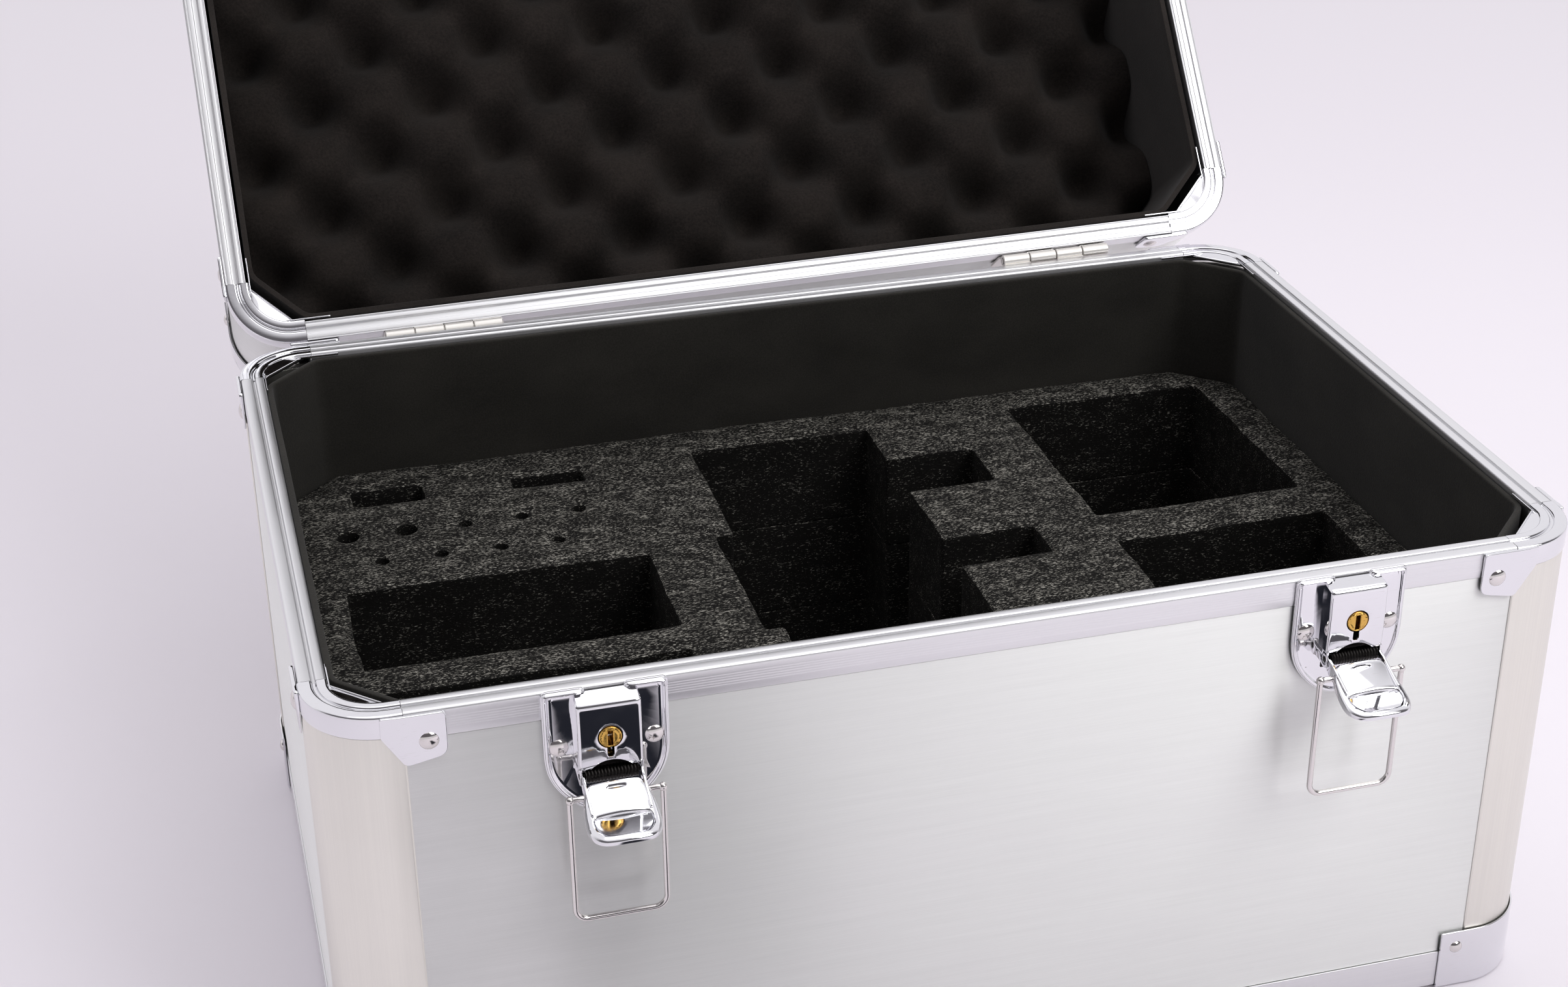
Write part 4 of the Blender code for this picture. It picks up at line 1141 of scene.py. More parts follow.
@dataclass
class RimProfile:
    """Extruded rim: two beads with a groove between them and a fluted outer face."""

    case: Case
    bead: float = 3.2
    groove: float = 1.1
    groove_depth: float = 1.25
    flute_top: float = 2.6
    flute_pitch: float = 0.87
    flute_depth: float = 0.025
    flutes: int = 5
    lid_inset: float = 0.8

    def section(self, inset: float, land: bool) -> Array:
        """Cross-section, softened at every corner.

        Args:
            inset: How far the inner edge stands outwards.
            land: Whether the outer bead is a wide flat land, as on the lid.
        Returns:
            Closed line of (out, up).
        """
        s = self.case.sizes
        width, height = s.rim_width, s.rim_height
        near, far = inset + self.bead, inset + self.bead + self.groove
        if land:
            corners = [
                (inset, 0.0), (inset + 0.5, 0.0), (inset + 0.6, -0.5), (inset + 0.9, -0.5),
                (inset + 1.0, 0.0), (near - 0.4, 0.0), (near - 0.3, -0.9), (far + 0.7, -0.9),
                (far + 0.8, -0.15), (width - 0.8, -0.15), (width - 0.7, -0.45), (width - 0.5, -0.45),
                (width - 0.4, 0.0), (width, 0.0),
            ]
            cuts = [0.25, 0.25, 0.1, 0.1, 0.4, 0.6, 0.3, 0.3, 0.2, 0.2, 0.1, 0.1, 0.2, 0.3]
        else:
            corners = [
                (inset, 0.0), (near, 0.0), (near + 0.05, -self.groove_depth),
                (far - 0.05, -self.groove_depth), (far, 0.0), (width, 0.0),
            ]
            cuts = [1.0, 1.0, 0.3, 0.3, 1.0, 1.1]
        level = -self.flute_top
        for _ in range(self.flutes):
            corners += [
                (width, level), (width - self.flute_depth, level - 0.25),
                (width - self.flute_depth, level - 0.5), (width, level - 0.72),
            ]
            cuts += [0.1] * 4
            level -= self.flute_pitch
        corners += [
            (width - 0.25, -height), (width - 0.8, -height), (width - 0.8, -3.2),
            (inset + 1.0, -3.2), (inset + 1.0, -height), (inset, -height),
        ]
        cuts += [0.2] * 6
        return softened(corners, cuts, 3)

    def bars(self, inset: float, land: bool = False) -> Surface:
        """The four straight bars between the corners' seams.

        Args:
            inset: How far their inner edge stands outwards.
            land: Whether they have the lid's wide land.
        Returns:
            The bars about the middle of the case.
        """
        s = self.case.sizes
        section = self.section(inset, land)
        lines = [
            [(-s.seam_x, -s.half_y), (s.seam_x, -s.half_y)],
            [(s.half_x, -s.seam_y), (s.half_x, s.seam_y)],
            [(s.seam_x, s.half_y), (-s.seam_x, s.half_y)],
            [(-s.half_x, s.seam_y), (-s.half_x, -s.seam_y)],
        ]
        return joined(*[carried(np.array(line, float), section, False) for line in lines])

    def build(self) -> None:
        """The base's and the lid's rim bars."""
        case = self.case
        base = self.bars(0.0).placed(case.base)
        show("base_rim_bars", base, EXTRUSION, "case_base", ["base_rim_frame"])
        lid = self.bars(self.lid_inset, True).placed(case.lid @ mirrored(1, 1, -1))
        show("lid_rim_bars", lid, EXTRUSION, "lid", ["lid_rim_frame"])


@dataclass
class ChromeCorner:
    """Pressed chrome corner that is bent over the rim, with its inner web and two riveted tabs."""

    case: Case
    sheet: float = 0.6
    skirt: float = 7.5
    tab_length: float = 12.2
    tab_top: float = -0.4
    tab_low: float = 18.0
    rivet_at: tuple[float, float] = (6.6, -9.7)
    rivet_radius: float = 3.3

    def section(self) -> Array:
        """Cross-section of the sheet over the two beads.

        Returns:
            Closed line of (out, up).
        """
        low = -self.skirt
        corners = [
            (8.9, low), (8.9, 0.0), (4.7, 0.0), (4.35, -1.0), (3.35, -1.0), (3.0, 0.0), (-0.1, 0.0),
            (-0.1, -1.7), (0.45, -1.7), (0.5, -0.6), (2.5, -0.6), (2.85, -1.55), (4.85, -1.55),
            (5.2, -0.6), (8.3, -0.6), (8.3, low),
        ]
        cuts = [0.2, 1.1, 0.8, 0.3, 0.3, 0.8, 1.0, 0.2, 0.2, 0.4, 0.4, 0.3, 0.3, 0.4, 0.5, 0.2]
        return softened(corners, cuts, 4)

    def web(self) -> Surface:
        """Sloped web between the round bead and its straight lip.

        Each station runs from a point of the lip's line to a point of the bead's arc. The lip is a
        ridge 0.8 mm wide, and the rest rises by 0.9 mm from the lip to the bead.

        Returns:
            The web about the middle of the case, with its underside flat.
        """
        s = self.case.sizes
        centre = s.half_x - s.corner_radius, s.half_y - s.corner_radius
        bead = arc(centre, s.corner_radius + 0.2, 1, 89, 24)
        t = np.linspace(0, 1, len(bead))[:, None]
        first = np.array([s.half_x + 0.1, centre[1] - 1.2])
        last = np.array([centre[0] - 1.2, s.half_y + 0.1])
        lip = first * (1 - t) + last * t
        reach = np.linalg.norm(bead - lip, axis=1)
        ridge = np.array([0.0, 0.12, 0.3, 0.55, 0.72, 0.85])
        ridge_up = np.array([-1.6, -1.15, -1.0, -1.0, -1.15, -1.38])
        channel = np.array([0.04, 0.15, 0.3, 0.5, 0.7, 0.85, 0.95, 1.0])
        channel_up = -1.4 + 0.9 * channel
        wide = np.maximum(reach - 0.9, 0.02)
        spots = np.concatenate([
            ridge[None, :] * np.minimum(1.0, reach / 1.2)[:, None],
            np.minimum(0.9, reach * 0.75)[:, None] + wide[:, None] * channel[None, :],
        ], axis=1)
        spots = np.minimum(spots, reach[:, None])
        up = np.concatenate([ridge_up, channel_up])
        spots = np.concatenate([spots, spots[:, -1:], spots[:, :1], spots[:, :1]], axis=1)
        up = np.concatenate([up, [-2.3, -2.3, ridge_up[0]]])
        way = (bead - lip) / reach[:, None]
        plan = lip[:, None, :] + way[:, None, :] * spots[:, :, None]
        rows = np.concatenate([plan, np.broadcast_to(up, plan.shape[:2])[:, :, None]], axis=2)
        ends = [np.broadcast_to(rows[index].mean(axis=0), rows[index].shape)[None] for index in (0, -1)]
        return patch(np.concatenate([ends[0], rows, ends[1]]))

    def tab(self, seam: float, reach: float, level: float) -> Surface:
        """Riveted tab as a plate of (along, up) that rises from the seam.

        It leans out by 0.045 a millimetre towards its top, and bends back by 0.4 mm where it meets
        the round corner.

        Args:
            seam: Place of the rim's seam along the wall.
            reach: How far the tab runs on towards the corner.
            level: Distance outwards of the tab's back.
        Returns:
            The tab, with its face along the third way.
        """
        far = seam - self.tab_length
        corners = [
            (far, self.tab_top), (seam + 0.5, self.tab_top), (seam + reach, self.tab_top + 0.2),
            (seam + reach, -7.3), (seam + 0.6, -self.tab_low), (far, -self.tab_low + 2.6),
        ]
        outline = softened(corners, [1.6, 0.9, 0.9, 0.9, 1.6, 3.2], 6)

        def relief(points: Array) -> Array:
            """Lift of the face."""
            bend = smooth(points[:, 0] - points[:, 1] * 0.3, seam + 2.0, seam + reach + 2.6)
            return -0.4 * bend + 0.045 * (points[:, 1] + self.tab_low)

        return slab(
            outline, level, level + self.sheet, rounding=0.22, step=0.8, fill=0.8, relief=relief,
            border=[(0.12, 0.0)],
        )

    def rivet(self, along: float, up: float, level: float) -> Surface:
        """Domed rivet head on a wall: height 1.6 (1 - (r / R)^2)^0.62.

        Args:
            along: Its place along the wall.
            up: Its place up the wall.
            level: Distance outwards of its foot.
        Returns:
            The head, with its dome along the third way.
        """
        r = np.linspace(0, 1, 9)[::-1]
        dome = [(self.rivet_radius * q, level + 1.6 * (1 - q * q) ** 0.62) for q in r]
        head = turned([(0.0, level - 0.5), (self.rivet_radius, level - 0.5), *dome], 28)
        return head.placed(shift(along, up, 0))

    def whole(self) -> tuple[Surface, Surface]:
        """The back right corner about the middle of the case.

        Returns:
            The corner and its two rivets.
        """
        s = self.case.sizes
        line = self.case.corner_line(s.seam_x + 0.15, s.seam_y + 0.15)
        sheet = carried(line, self.section(), False)
        on_end = self.tab(s.seam_x, 7.2, s.plate_back).placed(mirrored(-1, 1, 1))
        on_end = on_end.placed(self.case.on_back)
        on_side = self.tab(s.seam_y, 5.2, s.plate_back).placed(self.case.on_right)
        near, far = 0.3, 0.8
        strips = [
            slab(outline, -1.7, -0.8, rounding=0.12)
            for outline in (
                box_line(s.half_x - far, s.half_x - near, s.seam_y - 10, s.half_y - 12),
                box_line(s.seam_x - 10, s.half_x - 12, s.half_y - far, s.half_y - near),
            )
        ]
        x, y = s.seam_x - self.rivet_at[0] - 0.1, s.seam_y - self.rivet_at[0] - 0.1
        level = s.plate_back + self.sheet - 0.1
        rivets = joined(
            self.rivet(-x, self.rivet_at[1], level).placed(self.case.on_back),
            self.rivet(y, self.rivet_at[1], level).placed(self.case.on_right),
        )
        return joined(sheet, self.web(), on_end, on_side, *strips), rivets

    def build(self) -> None:
        """All eight corners with their rivets."""
        corner, rivets = self.whole()
        for half, place, up in (("base", self.case.base, 1), ("lid", self.case.lid, -1)):
            body = "case_base" if half == "base" else "lid"
            heads = []
            for where, (sx, sy) in CORNERS.items():
                matrix = place @ mirrored(sx, sy, up)
                name = f"{half}_rim_corner_{where}"
                show(f"{half}_chrome_corner_{where}", corner.placed(matrix), CHROME, body, [name])
                heads.append(rivets.placed(matrix))
            show(f"{half}_corner_rivets", joined(*heads), NICKEL, body)


@dataclass
class BaseShell:
    """Boards, corner posts, edge frame and bottom caps of the base."""

    case: Case
    post_leg: float = 3.8
    post_wall: float = 3.2
    cap_sheet: float = 0.7
    cap_leg: float = 24.0
    cap_reach: float = 13.0
    post_lap: float = 4.0
    joint: float = 0.15
    tongue_low: float = 2.5
    tongue_drop: float = 3.5

    def boards(self) -> None:
        """Four wall boards and the floor, each with its brushing along the horizontal."""
        s = self.case.sizes
        low = s.edge_bottom + s.edge_leg + self.joint
        high = s.rim_top - s.rim_height - self.joint
        for name, facing, across, out in (
            ("front", FACING_FRONT, s.half_x, s.half_y), ("back", FACING_BACK, s.half_x, s.half_y),
            ("left", FACING_LEFT, s.half_y, s.half_x), ("right", FACING_RIGHT, s.half_y, s.half_x),
        ):
            half = across - s.corner_radius - self.post_lap
            inner = out + s.board_in
            panel = slab(box_line(-half, half, low, high), inner, out + s.skin_out, rounding=0.15)
            behind = box_line(-half, half, self.tongue_low, s.rim_top - self.tongue_drop)
            tongue = slab(behind, inner, out + s.board_out, rounding=0.1)
            whole = joined(panel, tongue).placed(self.case.root @ facing)
            show(f"{name}_panel", whole, BRUSHED_BOARD, "case_base", [f"base_{name}_board"])
        floor = slab(
            self.case.inner_edge(s.board_in - 0.3), self.tongue_low, s.floor_top, rounding=0.15,
        ).placed(self.case.root)
        show("floor_panel", floor, BRUSHED_BOARD, "case_base", ["base_floor_board"])

    def post(self) -> Surface:
        """Round corner post with two thin legs that lap over the boards.

        Returns:
            The back right post about the middle of the case.
        """
        s = self.case.sizes
        x, y = s.half_x - s.corner_radius, s.half_y - s.corner_radius
        outer = s.corner_radius + s.rim_width
        leg = s.corner_radius + s.skin_out + 0.05
        inner = outer - self.post_wall
        outline = np.concatenate([
            [(x + leg, y - self.post_leg - 0.6), (x + outer, y - self.post_leg)],
            arc((x, y), outer, 0, 90, 24),
            [(x - self.post_leg, y + outer), (x - self.post_leg - 0.6, y + leg), (x, y + leg)],
            arc((x, y), inner, 90, 0, 12),
            [(x + leg, y)],
        ])
        low = s.edge_bottom + s.edge_leg + self.joint
        return slab(softened(outline, 0.22, 3), low, s.rim_top - 7.7, rounding=0.2).swapped()

    def cap(self) -> Surface:
        """Pressed cap over a bottom corner, with its underside at zero height.

        Returns:
            The back right cap about the middle of the case.
        """
        s = self.case.sizes
        outer = s.plate_back + self.cap_sheet
        corners = [
            (outer, self.cap_leg), (outer, 0.0), (-6.0, 0.0), (-6.0, self.cap_sheet),
            (s.plate_back, self.cap_sheet), (s.plate_back, self.cap_leg),
        ]
        section = softened(corners, [0.3, 1.8, 0.2, 0.2, 1.2, 0.3], 5)
        reach = s.corner_radius + self.cap_reach
        return carried(self.case.corner_line(s.half_x - reach, s.half_y - reach), section, False)

    def cap_rivets(self) -> Surface:
        """Two rivets on the wall sides of a cap.

        Returns:
            The heads about the middle of the case.
        """
        s = self.case.sizes
        corner = ChromeCorner(self.case, rivet_radius=2.6)
        level = s.plate_back + self.cap_sheet - 0.4
        x, y, up = s.half_x - s.corner_radius - 7.0, s.half_y - s.corner_radius - 7.0, 17.5
        return joined(
            corner.rivet(-x, up, level).placed(self.case.on_back),
            corner.rivet(y, up, level).placed(self.case.on_right),
        )

    def edge_frame(self, level: float, side: int) -> Surface:
        """Angle frame round the bottom or the top: a flat leg and a leg along the wall.

        Args:
            level: Height of its flat face.
            side: 1 where its wall leg goes up, and -1 where it goes down.
        Returns:
            The frame about the middle of the case.
        """
        s = self.case.sizes
        inner = s.board_out + 0.3
        corners = [
            (-8.0, level), (s.rim_width, level), (s.rim_width, level + side * s.edge_leg),
            (inner, level + side * s.edge_leg), (inner, level + side * 1.2), (-8.0, level + side * 1.2),
        ]
        section = softened(corners, [0.2, 1.1, 0.2, 0.2, 0.2, 0.2], 4)
        return carried(self.case.inner_edge(), section, True)

    def build(self) -> None:
        """All parts of the base's shell."""
        case = self.case
        self.boards()
        post, cap, rivets = self.post(), self.cap(), self.cap_rivets()
        heads = []
        for where, (sx, sy) in CORNERS.items():
            matrix = case.root @ mirrored(sx, sy, 1)
            show(f"post_{where}", post.placed(matrix), SATIN_POST, "case_base", [f"base_post_{where}"])
            under = cap.placed(matrix)
            show(f"bottom_cap_{where}", under, CHROME, "case_base", [f"base_bottom_cap_{where}"])
            heads.append(rivets.placed(matrix))
        show("bottom_cap_rivets", joined(*heads), NICKEL, "case_base")
        frame_piece = self.edge_frame(case.sizes.edge_bottom, 1).placed(case.root)
        show("bottom_edge_frame", frame_piece, EXTRUSION, "case_base", ["base_edge_frame"])


@dataclass
class LidShell:
    """Wall band, top board, edge frame and top caps of the lid."""

    case: Case

    def build(self) -> None:
        """All parts of the lid's shell."""
        case, s = self.case, self.case.sizes
        shell = BaseShell(case)
        low, high = s.rim_height + shell.joint, s.lid_edge_top - s.edge_leg - shell.joint
        inner = s.board_in + 0.8
        skin = softened(box_line(inner, s.skin_out, low, high), 0.15, 2)
        core = softened(box_line(inner, s.board_out, shell.tongue_drop, s.lid_board_top), 0.1, 1)
        band = joined(*[carried(case.inner_edge(), section, True) for section in (skin, core)])
        show("lid_wall_panel", band.placed(case.lid), BRUSHED_BOARD, "lid", ["lid_wall_band"])
        board = slab(case.inner_edge(inner - 0.3), s.lid_board_bottom, s.lid_board_top, rounding=0.15)
        show("lid_top_panel", board.placed(case.lid), BRUSHED_BOARD, "lid", ["lid_top_board"])
        edge = shell.edge_frame(s.lid_edge_top, -1).placed(case.lid)
        show("lid_top_frame", edge, EXTRUSION, "lid", ["lid_edge_frame"])
        cap, rivets = shell.cap(), shell.cap_rivets()
        heads = []
        for where, (sx, sy) in CORNERS.items():
            matrix = case.lid @ shift(0, 0, s.lid_height) @ mirrored(sx, sy, -1)
            show(f"top_cap_{where}", cap.placed(matrix), CHROME, "lid", [f"lid_top_cap_{where}"])
            heads.append(rivets.placed(matrix))
        show("top_cap_rivets", joined(*heads), NICKEL, "lid")


@dataclass
class Lining:
    """Flocked sheet glued round the inside of both halves, cut off at the corners."""

    case: Case
    wave: float = 0.25

    def ring(self, low: float, high: float) -> Surface:
        """Ring of the sheet between two levels with a soft top and bottom edge.

        Args:
            low: Level of its lower edge.
            high: Level of its upper edge.
        Returns:
            The ring about the middle of the case.
        """
        s = self.case.sizes
        line = softened(cut_box(s.half_x, s.half_y, s.lining_chamfer), 4.0, 6)
        line = stepped(anticlockwise(line), 6.0)
        back = s.lining_out - 0.1
        corners = [(s.lining_in, low), (s.lining_in, high), (back, high), (back, low)]
        section = stepped(softened(corners, [0.3, 1.0, 0.5, 0.3], 4), 6.0)

        def drift(points: Array) -> Array:
            """Slow waves of the sheet's face, towards and away from the middle.

            Args:
                points: Places (count, 3).
            Returns:
                How far each point moves, which is nothing for the glued back.
            """
            inward = smooth(s.half_x + s.lining_out - np.abs(points[:, 0]), 0.4, 1.2)
            inward *= smooth(s.half_y + s.lining_out - np.abs(points[:, 1]), 0.4, 1.2)
            waves = lattice_noise(points * (1, 1, 0.4), 24.0, 5) * self.wave - 0.1
            centre = points * (1, 1, 0)
            way = centre / np.maximum(np.linalg.norm(centre, axis=1), 1e-6)[:, None]
            return way * (waves * inward * 0.6)[:, None]

        return carried(line, section, True).moved(drift)

    def build(self) -> None:
        """The base's and the lid's lining."""
        case, s = self.case, self.case.sizes
        base = self.ring(s.floor_top + 0.3 - s.rim_top, -s.lining_drop).placed(case.base)
        piece = show("base_flock_lining", base, FELT, "case_base", ["base_lining"], 60)
        lid = self.ring(s.lining_drop, s.lid_board_bottom - 0.3).placed(case.lid)
        piece = show("lid_flock_lining", lid, LIT_LID_FELT, "lid", ["lid_lining"], 60)


@dataclass
class FoamInsert:
    """Three laminated layers of plank foam with pockets cut by hand."""

    case: Case
    layer: float = 39.3
    gap: float = 0.3
    bottom: float = 7.0
    wander: float = 0.7

    def pockets(self) -> dict[str, list[Array]]:
        """Closed lines of the holes through each layer.

        Returns:
            The lines for each layer, by its name.
        """
        left, recess, right, slot = -38.0, -45.0, 35.8, 71.0
        deep = [np.array([
            (left, 107), (left, 36), (recess, 36), (recess, -36), (left, -36), (left, -92), (right, -92),
            (right, -11), (slot, -11), (slot, 10), (right, 10), (right, 50.5), (slot, 50.5),
            (slot, 78.5), (right, 78.5), (right, 107),
        ], float)]
        middle = [*deep, box_line(97.0, 180.5, 12.0, 110.0), box_line(97.0, 180.5, -108.0, -9.5)]
        top = [
            *middle, box_line(-183.3, -72.0, -25.0, 30.0), box_line(-172.5, -145.0, 96.0, 109.0),
            box_line(-111.0, -82.5, 96.0, 105.0), box_line(-182.0, -73.0, -100.0, -41.5),
        ]
        return {"bottom": deep, "middle": middle, "top": top}

    def bores(self) -> list[Array]:
        """Round holes in two staggered rows, the first two wider."""
        first = [arc((-178.0 + 22.1 * k, 73.0), 4.2 if k < 2 else 2.6, 0, 342, 19) for k in range(5)]
        return first + [arc((-167.0 + 21.7 * k, 51.0), 2.6, 0, 342, 19) for k in range(4)]

    def torn(self, points: Array) -> Array:
        """Slow wander of the knife and the small tears of the cells.

        Args:
            points: Places (count, 3).
        Returns:
            How far each point moves.
        """
        wide = [lattice_noise(points * (1, 1, 0.25), 26.0, seed) for seed in (11, 12)]
        small = [lattice_noise(points * (0.7, 1, 1.4), 3.4, seed) for seed in (21, 22, 23)]
        s = self.case.sizes
        edge_x = smooth(s.half_x - np.abs(points[:, 0]), 3.0, 12.0)
        edge_y = smooth(s.half_y - np.abs(points[:, 1]), 3.0, 12.0)
        move = np.zeros_like(points)
        move[:, 0] = (wide[0] * self.wander + small[0] * 0.3) * edge_x
        move[:, 1] = (wide[1] * self.wander + small[1] * 0.3) * edge_y
        flat = points * (1, 1, 0)
        swell = lattice_noise(flat, 31.0, 31) * 0.5 + lattice_noise(flat, 9.0, 32) * 0.2
        move[:, 2] = swell * 0.8 + small[2] * 0.16
        return move

    def build(self) -> None:
        """Each layer as its own piece."""
        s = self.case.sizes
        half_x, half_y = s.half_x + s.lining_in - 1.3, s.half_y + s.lining_in - 1.3
        outline = softened(cut_box(half_x, half_y, s.lining_chamfer), 3.0, 4)
        for index, (name, holes) in enumerate(self.pockets().items()):
            low = self.bottom + index * (self.layer + self.gap) + 0.7
            loops = [softened(hole, 1.6, 3) for hole in holes] + (self.bores() if name == "top" else [])
            sink = self.edge_sink([outline, *loops]) if name == "top" else None
            body = slab(
                outline, low, low + self.layer - 0.05, loops, rounding=0.4, step=2.4,
                fill=3.0 if name == "top" else 7.0, wall=2.6, relief=sink,
            )
            piece = show(
                f"plank_foam_{name}", body.moved(self.torn).placed(self.case.root), PLANK, "case_base",
                [f"foam_layer_{name}"], 60,
            )

    def edge_sink(self, loops: list[Array]) -> Field:
        """Face of the top layer: cut edges sag by up to 0.9 mm over their last 4 mm.

        Args:
            loops: The layer's outline and its holes.
        Returns:
            The lift of the face at (count, 2) points.
        """
        def relief(points: Array) -> Array:
            """Lift of the face."""
            return -0.9 * (1 - smooth(border_distance(points, loops), 0.0, 4.0))

        return relief


@dataclass
class EggCrate:
    """Egg-crate foam in the lid, with round hollows between broad crests.

    With w = cos x cos y, the depth below the rim is the crests' plus 22 ((1 + w) / 2)^1.9.
    """

    case: Case
    pitch_x: float = 51.0
    pitch_y: float = 47.2
    start_x: float = -10.0
    start_y: float = 72.5
    peak: float = 50.0
    valley: float = 72.0

    def depth(self, points: Array) -> Array:
        """Depth of the waves below the lid's rim.

        Args:
            points: Places (count, 2).
        Returns:
            One depth for each point.
        """
        across = np.cos(2 * np.pi * (points[:, 0] - self.start_x) / self.pitch_x)
        along = np.cos(2 * np.pi * (points[:, 1] - self.start_y) / self.pitch_y)
        wave = (0.5 + 0.5 * across * along) ** 1.9
        solid = np.column_stack([points, np.zeros(len(points))])
        rough = lattice_noise(solid, 17.0, 41) * 0.6 + lattice_noise(solid, 4.0, 42) * 0.12
        return self.peak + 0.4 + (self.valley - self.peak) * wave + rough

    def build(self) -> None:
        """The sheet with its waves towards the base."""
        case, s = self.case, self.case.sizes
        half_x, half_y = s.half_x + s.lining_in - 0.3, s.half_y + s.lining_in - 0.3
        outline = softened(cut_box(half_x, half_y, s.lining_chamfer), 3.0, 4)
        low, high = self.peak, s.lid_board_bottom - 0.3
        sheet = slab(
            outline, low, high, rounding=0.6, step=2.4, fill=2.3, wall=4.0,
            under=lambda points: self.depth(points) - low,
        )
        piece = show("egg_crate_sheet", sheet.placed(case.lid), CRATE, "lid", ["lid_egg_crate_foam"], 80)


@dataclass
class Hinge:
    """Butt hinge: two riveted leaves whose knuckles turn on one pin."""

    case: Case
    at: float = 127.7
    width: float = 46.4
    knuckles: int = 4
    radius: float = 2.4
    bore: float = 1.35
    pin_radius: float = 1.1
    sheet: float = 1.0
    reach: float = 16.0

    def leaf(self, own: Sequence[int], side: int) -> Surface:
        """Leaf about the pin.

        Args:
            own: The numbers of its knuckles along the pin.
            side: 1 where it stands above the pin, and -1 below.
        Returns:
            The leaf with its knuckles.
        """
        near = self.case.sizes.plate_back - self.case.sizes.hinge_out
        low, high = sorted((side * (self.radius + 0.5), side * self.reach))
        half = self.width / 2
        outline = softened(box_line(-half, half, low, high), 1.4, 4)
        face = slab(outline, near, near + self.sheet, rounding=0.22).placed(FACING_BACK)
        parts = [face]
        pitch = self.width / self.knuckles
        for index in own:
            start = -half + index * pitch + 0.15
            end = start + pitch - 0.3
            barrel = [
                (self.bore, start), (self.radius - 0.25, start), (self.radius, start + 0.25),
                (self.radius, end - 0.25), (self.radius - 0.25, end), (self.bore, end),
                (self.bore, start),
            ]
            parts.append(turned(barrel, 32).placed(LYING))
            web_low, web_high = sorted((side * 0.5, side * (self.radius + 1.6)))
            web_line = box_line(-end, -start, web_low, web_high)
            web = slab(web_line, near + 0.05, near + self.sheet - 0.02, rounding=0.1)
            parts.append(web.placed(FACING_BACK))
        return joined(*parts)

    def rivets(self, side: int) -> Surface:
        """Three flat-domed rivets through a leaf.

        Args:
            side: 1 for the leaf above the pin, and -1 for the one below.
        Returns:
            The rivets' heads.
        """
        near = self.case.sizes.plate_back - self.case.sizes.hinge_out
        head = ChromeCorner(self.case, rivet_radius=2.3)
        places = (-self.width * 0.36, 0.0, self.width * 0.36)
        heads = [head.rivet(x, side * 9.6, near + self.sheet - 0.5) for x in places]
        return joined(*heads).placed(FACING_BACK)

    def build(self) -> None:
        """Both hinges."""
        case, s = self.case, self.case.sizes
        tilt = Matrix.Rotation(-s.hinge_tilt, 4, "Y")
        half = self.width / 2
        head = self.pin_radius + 0.1
        pin = turned([
            (0, -half - 0.3), (head * 0.7, -half - 0.3), (head, -half - 0.05),
            (self.pin_radius, -half + 0.2), (self.pin_radius, half - 0.2),
            (head, half + 0.05), (head * 0.7, half + 0.3), (0, half + 0.3),
        ], 20).placed(LYING)
        for where, side in SIDES.items():
            offset = Vector((side * self.at, 0, side * self.at * math.tan(s.hinge_tilt)))
            spot = Matrix.Translation(case.axis_at + offset) @ tilt
            low = joined(self.leaf((0, 2), -1), self.rivets(-1)).placed(case.root @ spot)
            high = joined(self.leaf((1, 3), 1), self.rivets(1)).placed(case.lid_turn @ spot)
            rod = pin.placed(case.root @ spot)
            for name, piece, body, node in (
                ("hinge_leaf_on_base", low, "case_base", "hinge_base_leaf"),
                ("hinge_leaf_on_lid", high, "lid", "hinge_lid_leaf"),
                ("hinge_rod", rod, "case_base", "hinge_pin"),
            ):
                show(f"{name}_{where}", piece, MATT_NICKEL, body, [f"{node}_{where}"])


